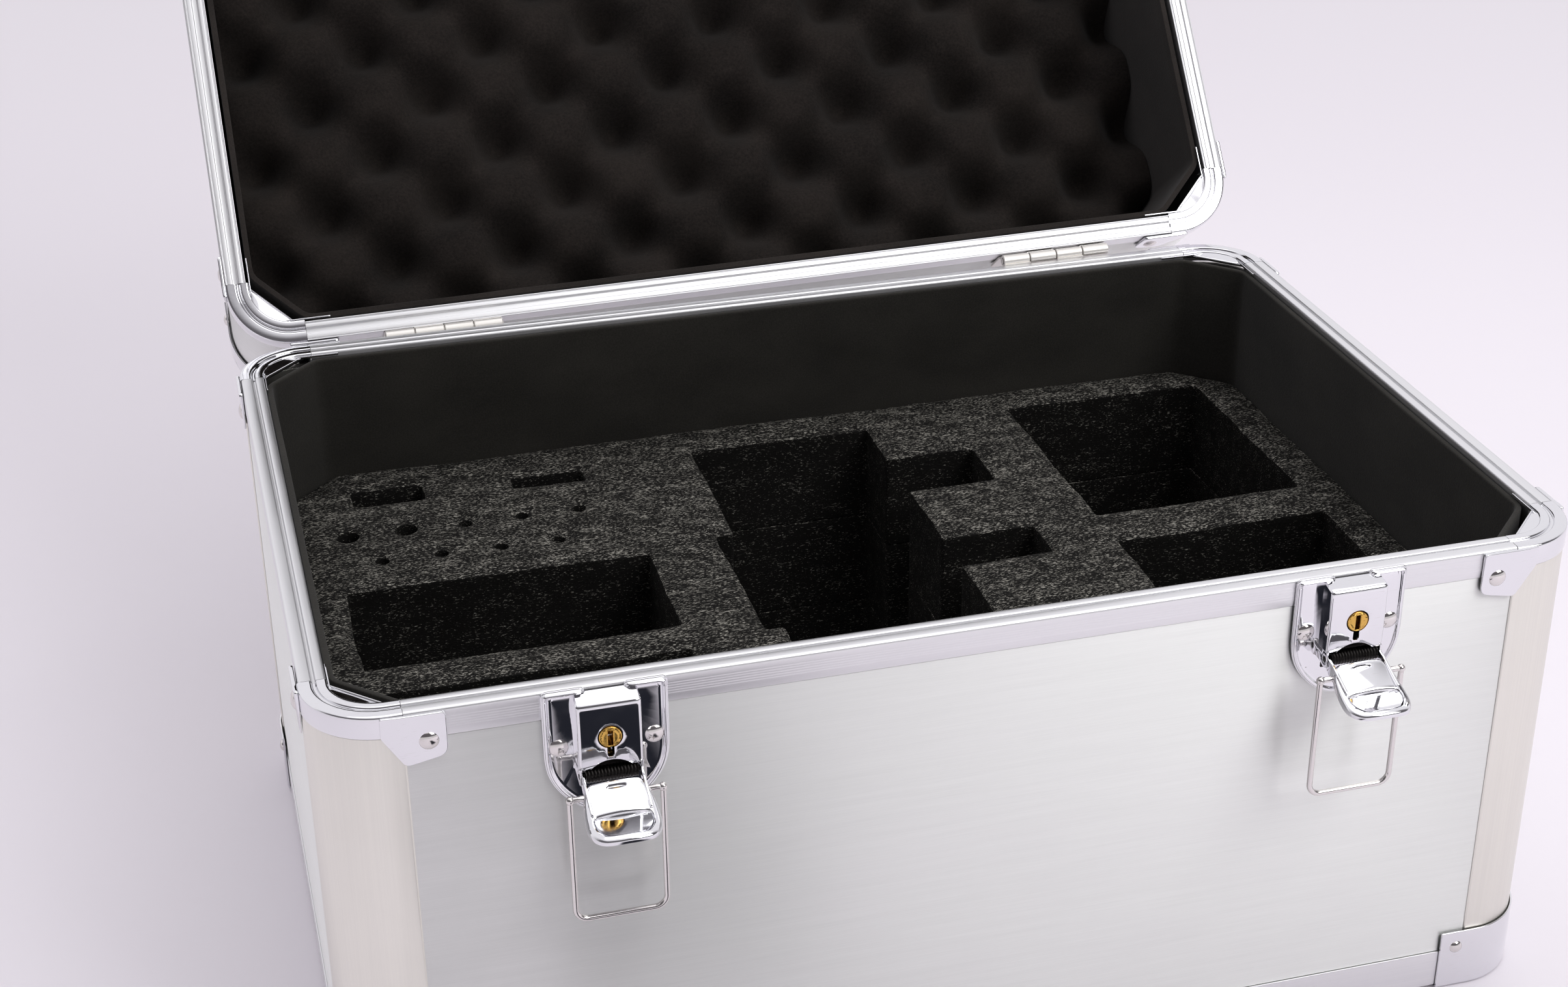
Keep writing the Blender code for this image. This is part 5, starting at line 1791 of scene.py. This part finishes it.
@dataclass
class Latch:
    """Draw latch: shield plate, lock box with its key plug, lever, wire bail and the lid's keeper."""

    case: Case
    at: float = 121.3
    sheet: float = 1.0
    box_half: float = 9.8
    box_out: float = 16.0
    box_foot: float = 9.4
    box_low: float = -24.6
    plug_drop: float = 14.0
    plug_radius: float = 3.5
    pivot_out: float = 14.5
    pivot_drop: float = 27.2
    lever_open: float = math.radians(80.0)
    bail_along: float = 7.45
    bail_under: float = -1.93
    bail_half: float = 14.2
    bail_wire: float = 0.95
    bail_length: float = 43.5

    def shield(self) -> Surface:
        """Shield plate with a rolled border, thickest in the two lips beside the slot at its top.

        Returns:
            The plate as a drawing of (across, up, outwards).
        """
        half = 19.2
        slot = [(5.8, -6.2), (5.8, -0.8), (6.6, 0.45), (half, 0.45)]
        side = [(half, -24.0), (18.2, -29.5), (15.6, -34.6), (11.0, -39.8), (5.0, -43.5)]
        corners = [*flipped(slot), *slot, *side, *flipped(side)]
        cuts = [2.0, 1.0, 0.6, 0.4, 0.4, 0.6, 1.0, 2.0] + [3.5] * 10
        outline = softened(corners, cuts, 5)

        def swell(points: Array) -> Array:
            """Factor on the border's rise: more in the lips, less at the slot's floor.

            Args:
                points: Places (count, 2).
            Returns:
                One factor for each point.
            """
            x, z = np.abs(points[:, 0]), points[:, 1]
            lips = 0.9 * smooth(z, -2.6, -0.6) * smooth(x, 6.0, 8.5)
            return 1.0 + lips - 0.6 * (1 - smooth(x, 4.8, 6.2)) * (z > -4)

        near = self.case.sizes.plate_back
        border = [
            (0.12, 0.3), (0.35, 0.54), (0.7, 0.66), (1.05, 0.6), (1.35, 0.36), (1.6, 0.04),
            (1.9, -0.1), (2.8, 0.0),
        ]
        return slab(
            outline, near, near + self.sheet, rounding=0.3, step=0.9, border=border, swell=swell,
        )

    def lock_box(self) -> Surface:
        """Raised lock box: flat front, sloped shoulder, keyhole and an arch over the lever.

        Each line of its wall is the outline with its sides and its top drawn in.

        Returns:
            The box as a drawing of (across, up, outwards).
        """
        half, low, top = self.box_half, self.box_low, -1.0
        arch = arc((0.0, -31.2), 9.6, 43.5, 136.5, 16)
        outline = np.concatenate([
            [(half - 0.4, low)], arch, [(-half + 0.4, low), (-half, low + 0.4), (-half, top - 0.5)],
            [(-half + 0.5, top), (half - 0.5, top), (half, top - 0.5), (half, low + 0.4)],
        ])
        outline = stepped(anticlockwise(outline), 1.2)
        table = [
            (self.box_foot, 0.0, 0.0), (12.4, 0.0, 0.68), (14.9, 0.0, 1.2), (15.4, 0.06, 1.42),
            (15.75, 0.22, 1.8), (15.94, 0.5, 2.3), (self.box_out, 0.85, 2.9),
            (self.box_out, 1.05, 3.1),
        ]
        radius = self.plug_radius + 0.3
        side = math.degrees(math.asin(1.0 / radius))
        hole = arc((0.0, -self.plug_drop), radius, -90 + side, 270 - side, 28)
        hole = np.concatenate([hole, [(-1.0, -20.4), (-0.6, -20.9), (0.6, -20.9), (1.0, -20.4)]])
        hole = anticlockwise(hole)[::-1]

        def belly(points: Array) -> Array:
            """Distance outwards of the slightly crowned front."""
            x, z = points.T
            return self.box_out - 0.3 * ((z + 13.0) / 11.0) ** 2 - 0.1 * (x / half) ** 2

        def line_at(level: float, inset: float, drop: float) -> Array:
            """Line round the wall.

            Args:
                level: Its distance outwards.
                inset: How far its sides are drawn in.
                drop: How far its top is drawn down.
            Returns:
                The line (count, 3).
            """
            x = outline[:, 0] * (half - inset) / half
            z = low + (outline[:, 1] - low) * (top - drop - low) / (top - low)
            plan = np.column_stack([x, z])
            share = (level - self.box_foot) / (self.box_out - self.box_foot)
            return np.column_stack([plan, level + (belly(plan) - self.box_out) * share])

        way = outwards(hole, True)
        bore = []
        for inset, depth in ((0.0, self.box_out - self.box_foot), (0.0, 0.3), (0.1, 0.08), (0.3, 0.0)):
            plan = hole - way * inset
            level = self.box_out - depth
            up = level + (belly(plan) - self.box_out) * (level > self.box_foot + 0.6)
            bore.append(np.column_stack([plan, up]))
        walls = [np.array([line_at(*row) for row in table]), np.array(bore)]
        return capped(walls, lambda points: np.full(len(points), self.box_foot), belly, 1.6)

    def ears(self) -> Surface:
        """Two ears beside the arch that carry the lever's pin.

        Returns:
            Both ears, in front of the case's face.
        """
        front = self.case.sizes.plate_back + self.sheet
        pivot = (self.pivot_out, -self.pivot_drop)
        outline = np.concatenate([
            [(front - 0.4, -24.0), (front - 0.4, -29.0)], arc(pivot, 2.9, 240, 330, 8),
            [(self.box_out, -27.5), (self.box_out - 0.1, -24.2)],
        ])
        hole = arc(pivot, 1.25, 0, 337.5, 15)
        parts = [
            slab(outline, start, start + 0.9, [hole], rounding=0.2).placed(EDGE_ON)
            for start in (-self.box_half, self.box_half - 0.9)
        ]
        return joined(*parts)

    def plug(self) -> Surface:
        """Key plug about its own axis, with its keyway.

        Returns:
            The plug as a drawing of (across, up, outwards).
        """
        ring = arc((0.0, 0.0), self.plug_radius, 0, 350, 35)
        keyway = softened(box_line(-0.75, 0.75, -3.0, 2.2), 0.3, 3)

        def relief(points: Array) -> Array:
            """Lift of the face: a groove near its border."""
            reach = np.linalg.norm(points, axis=1)
            return -0.25 * smooth(reach, 2.3, 2.7) + 0.12 * smooth(reach, 2.7, 3.0)

        return slab(
            ring, 10.2, self.box_out + 0.3, [keyway], rounding=0.35, step=0.5, fill=0.4, relief=relief,
        )

    def lever(self) -> Surface:
        """Lever about its pivot, drawn closed.

        Its root bulges outwards, most at its top, and a rounded border frames a sunk flat window.

        Returns:
            The lever with its two side flanges.
        """
        half = [
            (7.6, -4.5), (8.8, -5.5), (10.4, -8.6), (11.3, -15.5), (11.2, -21.6), (8.2, -26.2),
            (3.0, -27.2),
        ]
        cuts = [0.8, 1.0, 2.5, 3.5, 3.0, 2.5, 2.0]
        outline = softened([*half, *flipped(half)], cuts + cuts[::-1], 5)
        sill_top = -16.3
        pane_half = [(8.6, sill_top), (8.6, -20.4), (5.8, -24.3)]
        window = softened(
            [(-8.6, sill_top), *pane_half, *flipped(pane_half)[:2]], [1.6, 1.6, 2.0, 2.2, 2.2, 2.0], 6,
        )
        window = stepped(anticlockwise(window)[::-1], 0.8)
        outline = stepped(anticlockwise(outline), 0.8)
        dimple = anticlockwise(arc((0, 0), 1.0, 0, 340, 17) * (3.0, 0.6) + (0, -7.0))[::-1]

        def slope(points: Array) -> Array:
            """Distance outwards of the bulging root and its run down to the tip."""
            down = np.clip(half[0][1] - points[:, 1], 0.0, 20.0)
            return 1.4 - 0.36 * down + 0.0090 * down**2 - 0.012 * points[:, 0] ** 2

        def sunk(points: Array) -> Array:
            """Distance outwards of the window's flat pane."""
            return -2.7 + 0.05 * (sill_top - points[:, 1])

        def rows(line: Array, steps: Sequence[tuple[float, float]]) -> Array:
            """The line drawn in by each inset, at each rise above the slope.

            Args:
                line: Closed line (count, 2).
                steps: The (inset, rise) of each row.
            Returns:
                The rows (rows, count, 3).
            """
            way = outwards(line, True)
            lines = [(line - way * inset, rise) for inset, rise in steps]
            return np.array([np.column_stack([plan, slope(plan) + rise]) for plan, rise in lines])

        def fill(walls: Sequence[Array], row: int, rise: float, gap: float) -> Surface:
            """Fill of one row of each wall, at a rise above the slope."""
            return lid_over([wall[row][:, :2] for wall in walls], lambda spots: slope(spots) + rise, gap)

        foot, low, crown = -1.6, -0.1, 0.52
        rim = rows(outline, [
            (0.3, foot), (0.0, -1.3), (0.0, -0.45), (0.2, 0.0), (0.6, 0.35), (1.2, 0.5), (2.0, crown),
        ])
        sill = rows(window, [(-0.1, -0.75), (0.0, -0.55), (0.15, -0.1), (0.45, 0.35), (0.9, crown)])
        sill[0, :, 2] = sunk(sill[0, :, :2])
        dent = rows(dimple, [(-0.35, low), (-0.2, -0.02), (0.0, 0.2), (0.25, 0.46), (0.5, crown)])
        walls = [rim, sill, dent]
        face = joined(
            *[ringed(wall) for wall in walls], fill(walls, -1, crown, 1.1),
            lid_over([sill[0][:, :2]], sunk, 1.5), fill([dent], 0, low, 0.0), fill([rim], 0, foot, 2.0),
        ).placed(FACING_FRONT)
        flange = np.array([
            (1.4, 1.2), (-1.4, 1.0), (-4.0, -4.4), (-4.2, -10.0), (-2.6, -15.0), (-1.0, -16.0),
            (1.2, -4.0),
        ])
        hole = arc((self.bail_under, -self.bail_along), 1.15, 0, 337.5, 15)
        sides = [
            slab(softened(flange, 0.8, 4), start, start + 0.9, [hole], rounding=0.2).placed(EDGE_ON)
            for start in (-9.4, 8.5)
        ]
        return joined(face, *sides)

    def coil_and_shade_sheet(self) -> Surface:
        """Coil round the lever's pin, with a flat near-black sheet on the plate behind the lever that
        paints the shade seen through the arch.

        Its coils lie close, so they are rings whose radius is 2.2 + 0.25 |cos(pi x)|.

        Returns:
            The coil and the painted shade sheet, in front of the case's face.
        """
        half, bore = 8.0, 1.2
        x = np.linspace(-half, half, 129)
        coils = np.column_stack([2.2 + 0.25 * np.abs(np.cos(np.pi * x)), x])
        profile = np.concatenate([[(bore, -half)], coils, [(bore, half), (bore, -half)]])
        coil = turned(profile, 24).placed(LYING)
        # Flat near-black sheet on the plate between the ears: painted shade behind the lever
        leaf = slab(box_line(-8.3, 8.3, -33.0, -20.6), 9.75, 10.2, rounding=0.1).placed(FACING_FRONT)
        return joined(coil.placed(shift(0, -self.pivot_out, -self.pivot_drop)), leaf)

    def bail(self) -> Surface:
        """Wire bail about its own pivots, hanging straight down, with a ball at each bend.

        Returns:
            The wire with its two balls.
        """
        radius, low, half = 4.0, -self.bail_length, self.bail_half
        line = np.concatenate([
            [(-8.6, 0.0), (-half + 1.4, 0.0)], arc((-half + 1.2, -1.2), 1.2, 90, 180, 5)[1:],
            arc((-half + radius, low + radius), radius, 180, 270, 8),
            arc((half - radius, low + radius), radius, 270, 360, 8),
            arc((half - 1.2, -1.2), 1.2, 0, 90, 5)[:-1], [(half - 1.4, 0.0), (8.6, 0.0)],
        ])
        t = np.linspace(-90, 90, 9)
        ball = [(1.4 * math.cos(math.radians(a)), 1.4 * math.sin(math.radians(a))) for a in t]
        balls = [turned(ball, 20).placed(shift(side * (half - 0.1), 0, -0.1)) for side in (-1, 1)]
        return joined(wire(line, self.bail_wire), *balls)

    def keeper(self) -> Surface:
        """Keeper on the lid: riveted plate, ledge with a turned lip, and the tongue for the slot.

        Returns:
            The keeper as a drawing of (across, up, outwards).
        """
        near = self.case.sizes.plate_back
        plate = softened(box_line(-13.0, 13.0, 2.2, 16.0), 1.8, 5)
        body = slab(plate, near, near + 1.2, rounding=0.3, step=1.0)
        half = [(3.9, -5.5), (5.2, -4.0), (5.2, 3.0)]
        tongue = softened([*flipped(half), *half], 0.5, 3)
        blade = slab(tongue, near + 0.15, near + 0.55, rounding=0.15)
        ledge = slab(box_line(-9.0, 9.0, 5.6, 7.4), near + 1.0, 15.1, rounding=0.25)
        lip = slab(softened(box_line(-9.0, 9.0, 5.7, 9.6), 0.8, 4), 13.9, 15.1, rounding=0.35)
        return joined(body, blade, ledge, lip)

    def heads(self, radius: float, places: Sequence[tuple[float, float]], level: float) -> Surface:
        """Rivet heads at (across, up) places."""
        head = ChromeCorner(self.case, rivet_radius=radius)
        return joined(*[head.rivet(x, z, level) for x, z in places])

    def build(self) -> None:
        """Both latches with their keepers."""
        case, s = self.case, self.case.sizes
        body = joined(self.shield(), self.lock_box()).placed(FACING_FRONT)
        body = joined(body, self.ears())
        rivets = self.heads(3.3, [(-14.6, -19.2), (14.6, -19.2)], s.plate_back + self.sheet - 0.5)
        rivets = rivets.placed(FACING_FRONT)
        keeper = self.keeper().placed(FACING_FRONT)
        studs = self.heads(2.2, [(-10.2, 11.5), (10.2, 11.5)], s.plate_back + 0.8).placed(FACING_FRONT)
        plug, lever, bail = self.plug().placed(FACING_FRONT), self.lever(), self.bail()
        rod_line = [(0, -9.9), (0.8, -9.9), (1.0, -9.7), (1.0, 9.7), (0.8, 9.9), (0, 9.9)]
        rod, coil_and_shade_sheet = turned(rod_line, 18).placed(LYING), self.coil_and_shade_sheet()
        for where, side in SIDES.items():
            front = shift(side * self.at, -s.half_y, s.rim_top)
            place = case.root @ front
            key_at = place @ shift(0, 0, -self.plug_drop)
            pivot = place @ shift(0, -self.pivot_out, -self.pivot_drop)
            opened = pivot @ Matrix.Rotation(-self.lever_open, 4, "X")
            hanging = opened @ shift(0, -self.bail_under, -self.bail_along)
            hanging = hanging @ Matrix.Rotation(self.lever_open, 4, "X")
            keeper_at = case.lid_turn @ front
            for name, piece, at, finish, rides, node in (
                ("latch_body", body, place, CHROME, "case_base", "latch_plate"),
                ("latch_rivets", rivets, place, NICKEL, "case_base", None),
                ("key_plug", plug, key_at, BRASS, f"plug_{where}", "latch_plug"),
                # Pin, coil and sheet are near black: painted shade between the ears
                ("lever_rod", rod, pivot, SHADE_DARK_STEEL, "case_base", "latch_lever_pin"),
                ("lever_coil_and_shade_sheet", coil_and_shade_sheet, place, SHADE_DARK_STEEL, "case_base", None),
                ("draw_lever", lever, opened, CHROME, f"lever_{where}", "latch_lever"),
                ("wire_bail", bail, hanging, NICKEL, f"bail_{where}", "latch_bail"),
                ("keeper", keeper, keeper_at, CHROME, "lid", "lid_keeper"),
                ("keeper_rivets", studs, keeper_at, NICKEL, "lid", None),
            ):
                nodes = [f"{node}_{where}"] if node else []
                show(f"{name}_{where}", piece.placed(at), finish, rides, nodes)


@dataclass
class Handle:
    """Carrying handle on the lid: two brackets, a bent rod and a moulded grip."""

    case: Case
    half: float = 66.0
    lift: float = 11.5
    reach: float = 36.0
    grip_radius: float = 8.0
    rod: float = 2.4
    bore: float = 2.75
    hang: float = math.radians(-53.0)

    def bracket(self) -> Surface:
        """Foot with a lug that holds the rod, about the handle's axis.

        Returns:
            The bracket.
        """
        low = -self.lift
        foot = slab(rounded_box(13.0, 15.0, 3.0, 6), low, low + 1.6, rounding=0.4, step=1.5)
        side = np.concatenate([[(-6.4, low + 0.8), (6.4, low + 0.8)], arc((0, 0), 5.5, 0, 180, 16)])
        hole = arc((0, 0), self.bore, 0, 345, 23)
        return joined(foot, slab(side, -2.5, 2.5, [hole], rounding=0.5, step=1.5).placed(FACING_RIGHT))

    def grip(self) -> Surface:
        """Grip turned about the rod: its radius dips between finger rings and at its ends.

        Returns:
            The grip about the handle's axis.
        """
        half = self.half - 10.0
        x = np.linspace(-half, half, 113)
        ripple = 0.55 * (1 - np.abs(np.cos(np.pi * x / 16.0))) * (np.abs(x) < 40.0)
        ends = 1.2 * smooth(np.abs(x), half - 1.4, half)
        outer = np.column_stack([self.grip_radius - 0.42 * (x / half) ** 2 - ripple - ends, x])
        bore = self.bore
        profile = np.concatenate([[(bore, -half)], outer, [(bore, half), (bore, -half)]])
        place = shift(0, 0, self.reach) @ LYING
        return turned(profile, 40).placed(place)

    def build(self) -> None:
        """Brackets, rod and grip."""
        case, s = self.case, self.case.sizes
        top = s.lid_board_top + 0.3 + self.lift
        axis = case.lid @ shift(0, 0, top)
        heads = ChromeCorner(case, rivet_radius=1.9)
        studs = joined(*[
            heads.rivet(x, y, -self.lift + 1.1) for x in (-8.6, 8.6) for y in (-10.4, 10.4)
        ])
        for where, side in SIDES.items():
            place = axis @ shift(side * (self.half + 7.0), 0, 0)
            bracket = self.bracket().placed(place)
            show(f"bracket_{where}", bracket, CHROME, "lid", [f"handle_bracket_{where}"])
            show(f"bracket_rivets_{where}", studs.placed(place), NICKEL, "lid")
        hanging = axis @ Matrix.Rotation(self.hang, 4, "X")
        end, bend = self.half + 10.2, 8.0
        line = np.concatenate([
            [(-end, 0.0), (-self.half - 2.5, 0.0)], arc((-self.half - 2.0, 2.0), 2.0, 270, 360, 5),
            arc((-self.half + bend, self.reach - bend), bend, 180, 90, 10),
            arc((self.half - bend, self.reach - bend), bend, 90, 0, 10),
            arc((self.half + 2.0, 2.0), 2.0, 180, 270, 5), [(self.half + 2.5, 0.0), (end, 0.0)],
        ])
        show("handle_rod", wire(line, self.rod, 20).placed(hanging), NICKEL, "handle", ["handle_frame"])
        show("handle_sleeve", self.grip().placed(hanging), GRIP, "handle", ["handle_grip"])


@dataclass
class Studio:
    """Pale floor, soft lamps and the camera at the photograph's angle."""

    case: Case
    focal: float = 3778.58
    frame_width: float = 2408.0
    yaw: float = 0.262057
    pitch: float = 0.474561
    roll: float = 0.0107976
    camera_at: tuple[float, float, float] = (-230.15, -752.80, 558.86)
    film: float = 36.0
    floor_half: float = 5000.0
    floor_near: str = "#F4EFF5"
    floor_far: str = "#FFFDFF"
    far_from: float = 0.7
    far_to: float = 2.6
    # Painted reflection: tone of the dark patch that only glossy rays see, and the patch's edges
    painted_reflection_tone: str = "#1C1E26"
    painted_reflection_edges: tuple = (
        ("Y", -0.32, -0.41), ("Y", -0.78, -0.62), ("X", -0.142, -0.112), ("X", 0.01, -0.045),
    )
    sky_low: str = "#E4E2E6"
    sky_high: str = "#F8F6FA"
    band: str = "#666367"
    band_edges: tuple = (("Y", 0.35, -0.15), ("Z", 0.08, 0.2), ("Z", 0.88, 0.7))

    def camera(self) -> None:
        """Camera whose axes are yawed to the right, pitched down and rolled a little."""
        data = bpy.data.cameras.new("camera")
        data.sensor_width = self.film
        data.lens = self.focal / self.frame_width * self.film
        data.clip_start, data.clip_end = 0.02, 50.0
        camera = bpy.data.objects.new("camera", data)
        bpy.context.scene.collection.objects.link(camera)
        ahead = Vector((
            math.sin(self.yaw) * math.cos(self.pitch), math.cos(self.yaw) * math.cos(self.pitch),
            -math.sin(self.pitch),
        ))
        right = Vector((math.cos(self.yaw), -math.sin(self.yaw), 0.0))
        down = ahead.cross(right)
        level = math.cos(self.roll) * right + math.sin(self.roll) * down
        fall = -math.sin(self.roll) * right + math.cos(self.roll) * down
        turn = Matrix((level, -fall, -ahead)).transposed().to_4x4()
        place = (Vector(self.camera_at) + self.case.centre) * MM
        camera.matrix_world = Matrix.Translation(place) @ turn
        bpy.context.scene.camera = camera

    def floor(self) -> None:
        """Plain pale sheet that the case stands on.

        It is paler far off, where the lamps reach it less. In front of the left latch glossy rays see a
        painted dark patch on it, a painted reflection that polished metal mirrors and the camera does
        not see.
        """
        half = self.floor_half
        sheet = slab(box_line(-half, half, -half, half), -20.0, 0.0, rounding=0.5)
        mesh = mesh_of("studio_floor", sheet)
        material = bpy.data.materials.new("pale_studio_floor")
        material.use_nodes = True
        tree = material.node_tree
        shader = tree.nodes["Principled BSDF"]
        place = add_node(tree, "TexCoord")
        across = add_node(tree, "SeparateXYZ", {0: place.outputs["Object"]})
        rays = add_node(tree, "LightPath")
        # Share of the painted dark reflection: glossy rays only, inside the patch's edges
        dim = between(tree, across, rays.outputs["Is Glossy Ray"], self.painted_reflection_edges)
        reach = add_node(tree, "VectorMath", {0: place.outputs["Object"]}, operation="LENGTH")
        far = add_node(tree, "MapRange", {
            "Value": reach.outputs["Value"], "From Min": self.far_from, "From Max": self.far_to,
        }, interpolation_type="SMOOTHSTEP")
        sheet_tone = add_node(tree, "Mix", {
            0: far.outputs[0], 6: linear(self.floor_near), 7: linear(self.floor_far),
        }, data_type="RGBA")
        tone = add_node(tree, "Mix", {
            0: dim, 6: sheet_tone.outputs[2], 7: linear(self.painted_reflection_tone),
        }, data_type="RGBA")
        tree.links.new(tone.outputs[2], shader.inputs["Base Color"])
        shader.inputs["Roughness"].default_value = 0.9
        shader.inputs["Specular IOR Level"].default_value = 0.1
        mesh.materials.append(material)
        floor = bpy.data.objects.new("studio_floor", mesh)
        bpy.context.scene.collection.objects.link(floor)

    def lamp(
        self, name: str, at: Sequence[float], towards: Sequence[float], size: float, power: float,
    ) -> None:
        """Square soft lamp.

        Args:
            name: Its name.
            at: Its place in metres.
            towards: The point that it is turned to.
            size: Length of its sides in metres.
            power: Its power in watts.
        """
        data = bpy.data.lights.new(name, "AREA")
        data.size = size
        data.energy = power
        lamp = bpy.data.objects.new(name, data)
        bpy.context.scene.collection.objects.link(lamp)
        way = Vector(towards) - Vector(at)
        lamp.matrix_world = Matrix.Translation(at) @ way.to_track_quat("-Z", "Y").to_matrix().to_4x4()

    def world(self) -> None:
        """Bright surroundings with a grey band in front, well above the horizon."""
        world = bpy.data.worlds.new("studio")
        bpy.context.scene.world = world
        world.use_nodes = True
        tree = world.node_tree
        back = tree.nodes["Background"]
        place = add_node(tree, "TexCoord")
        way = add_node(tree, "SeparateXYZ", {0: place.outputs["Generated"]})
        grey = between(tree, way, 1.0, self.band_edges)
        rise = add_node(tree, "MapRange", {
            "Value": way.outputs["Z"], "From Min": 0.0, "From Max": 0.15,
        }, interpolation_type="SMOOTHSTEP")
        pale = add_node(tree, "Mix", {
            0: rise.outputs[0], 6: linear(self.sky_low), 7: linear(self.sky_high),
        }, data_type="RGBA")
        tone = add_node(tree, "Mix", {
            0: grey, 6: pale.outputs[2], 7: linear(self.band),
        }, data_type="RGBA")
        tree.links.new(tone.outputs[2], back.inputs["Color"])
        back.inputs["Strength"].default_value = 1.0

    def build(self) -> None:
        """Camera, floor, lamps and world."""
        self.camera()
        self.floor()
        self.lamp("overhead", (0.1, 0.15, 1.9), towards=(0.0, 0.0, 0.15), size=1.5, power=4.5)
        self.lamp("front_right", (0.96, -1.33, 1.55), towards=(0.0, -0.1, 0.15), size=1.25, power=18.0)
        self.world()
        bpy.context.scene.view_settings.view_transform = "Standard"


def main() -> None:
    """Build every part of the case and the studio."""
    logging.basicConfig(level=logging.INFO, format="%(message)s")
    case = Case(CaseSizes())
    Studio(case).build()
    for part in (
        BaseShell(case), LidShell(case), RimProfile(case), ChromeCorner(case), Lining(case),
        FoamInsert(case), EggCrate(case), Hinge(case), Latch(case), Handle(case),
    ):
        part.build()
        LOG.info("%s built", type(part).__name__)


if __name__ == "__main__":
    main()
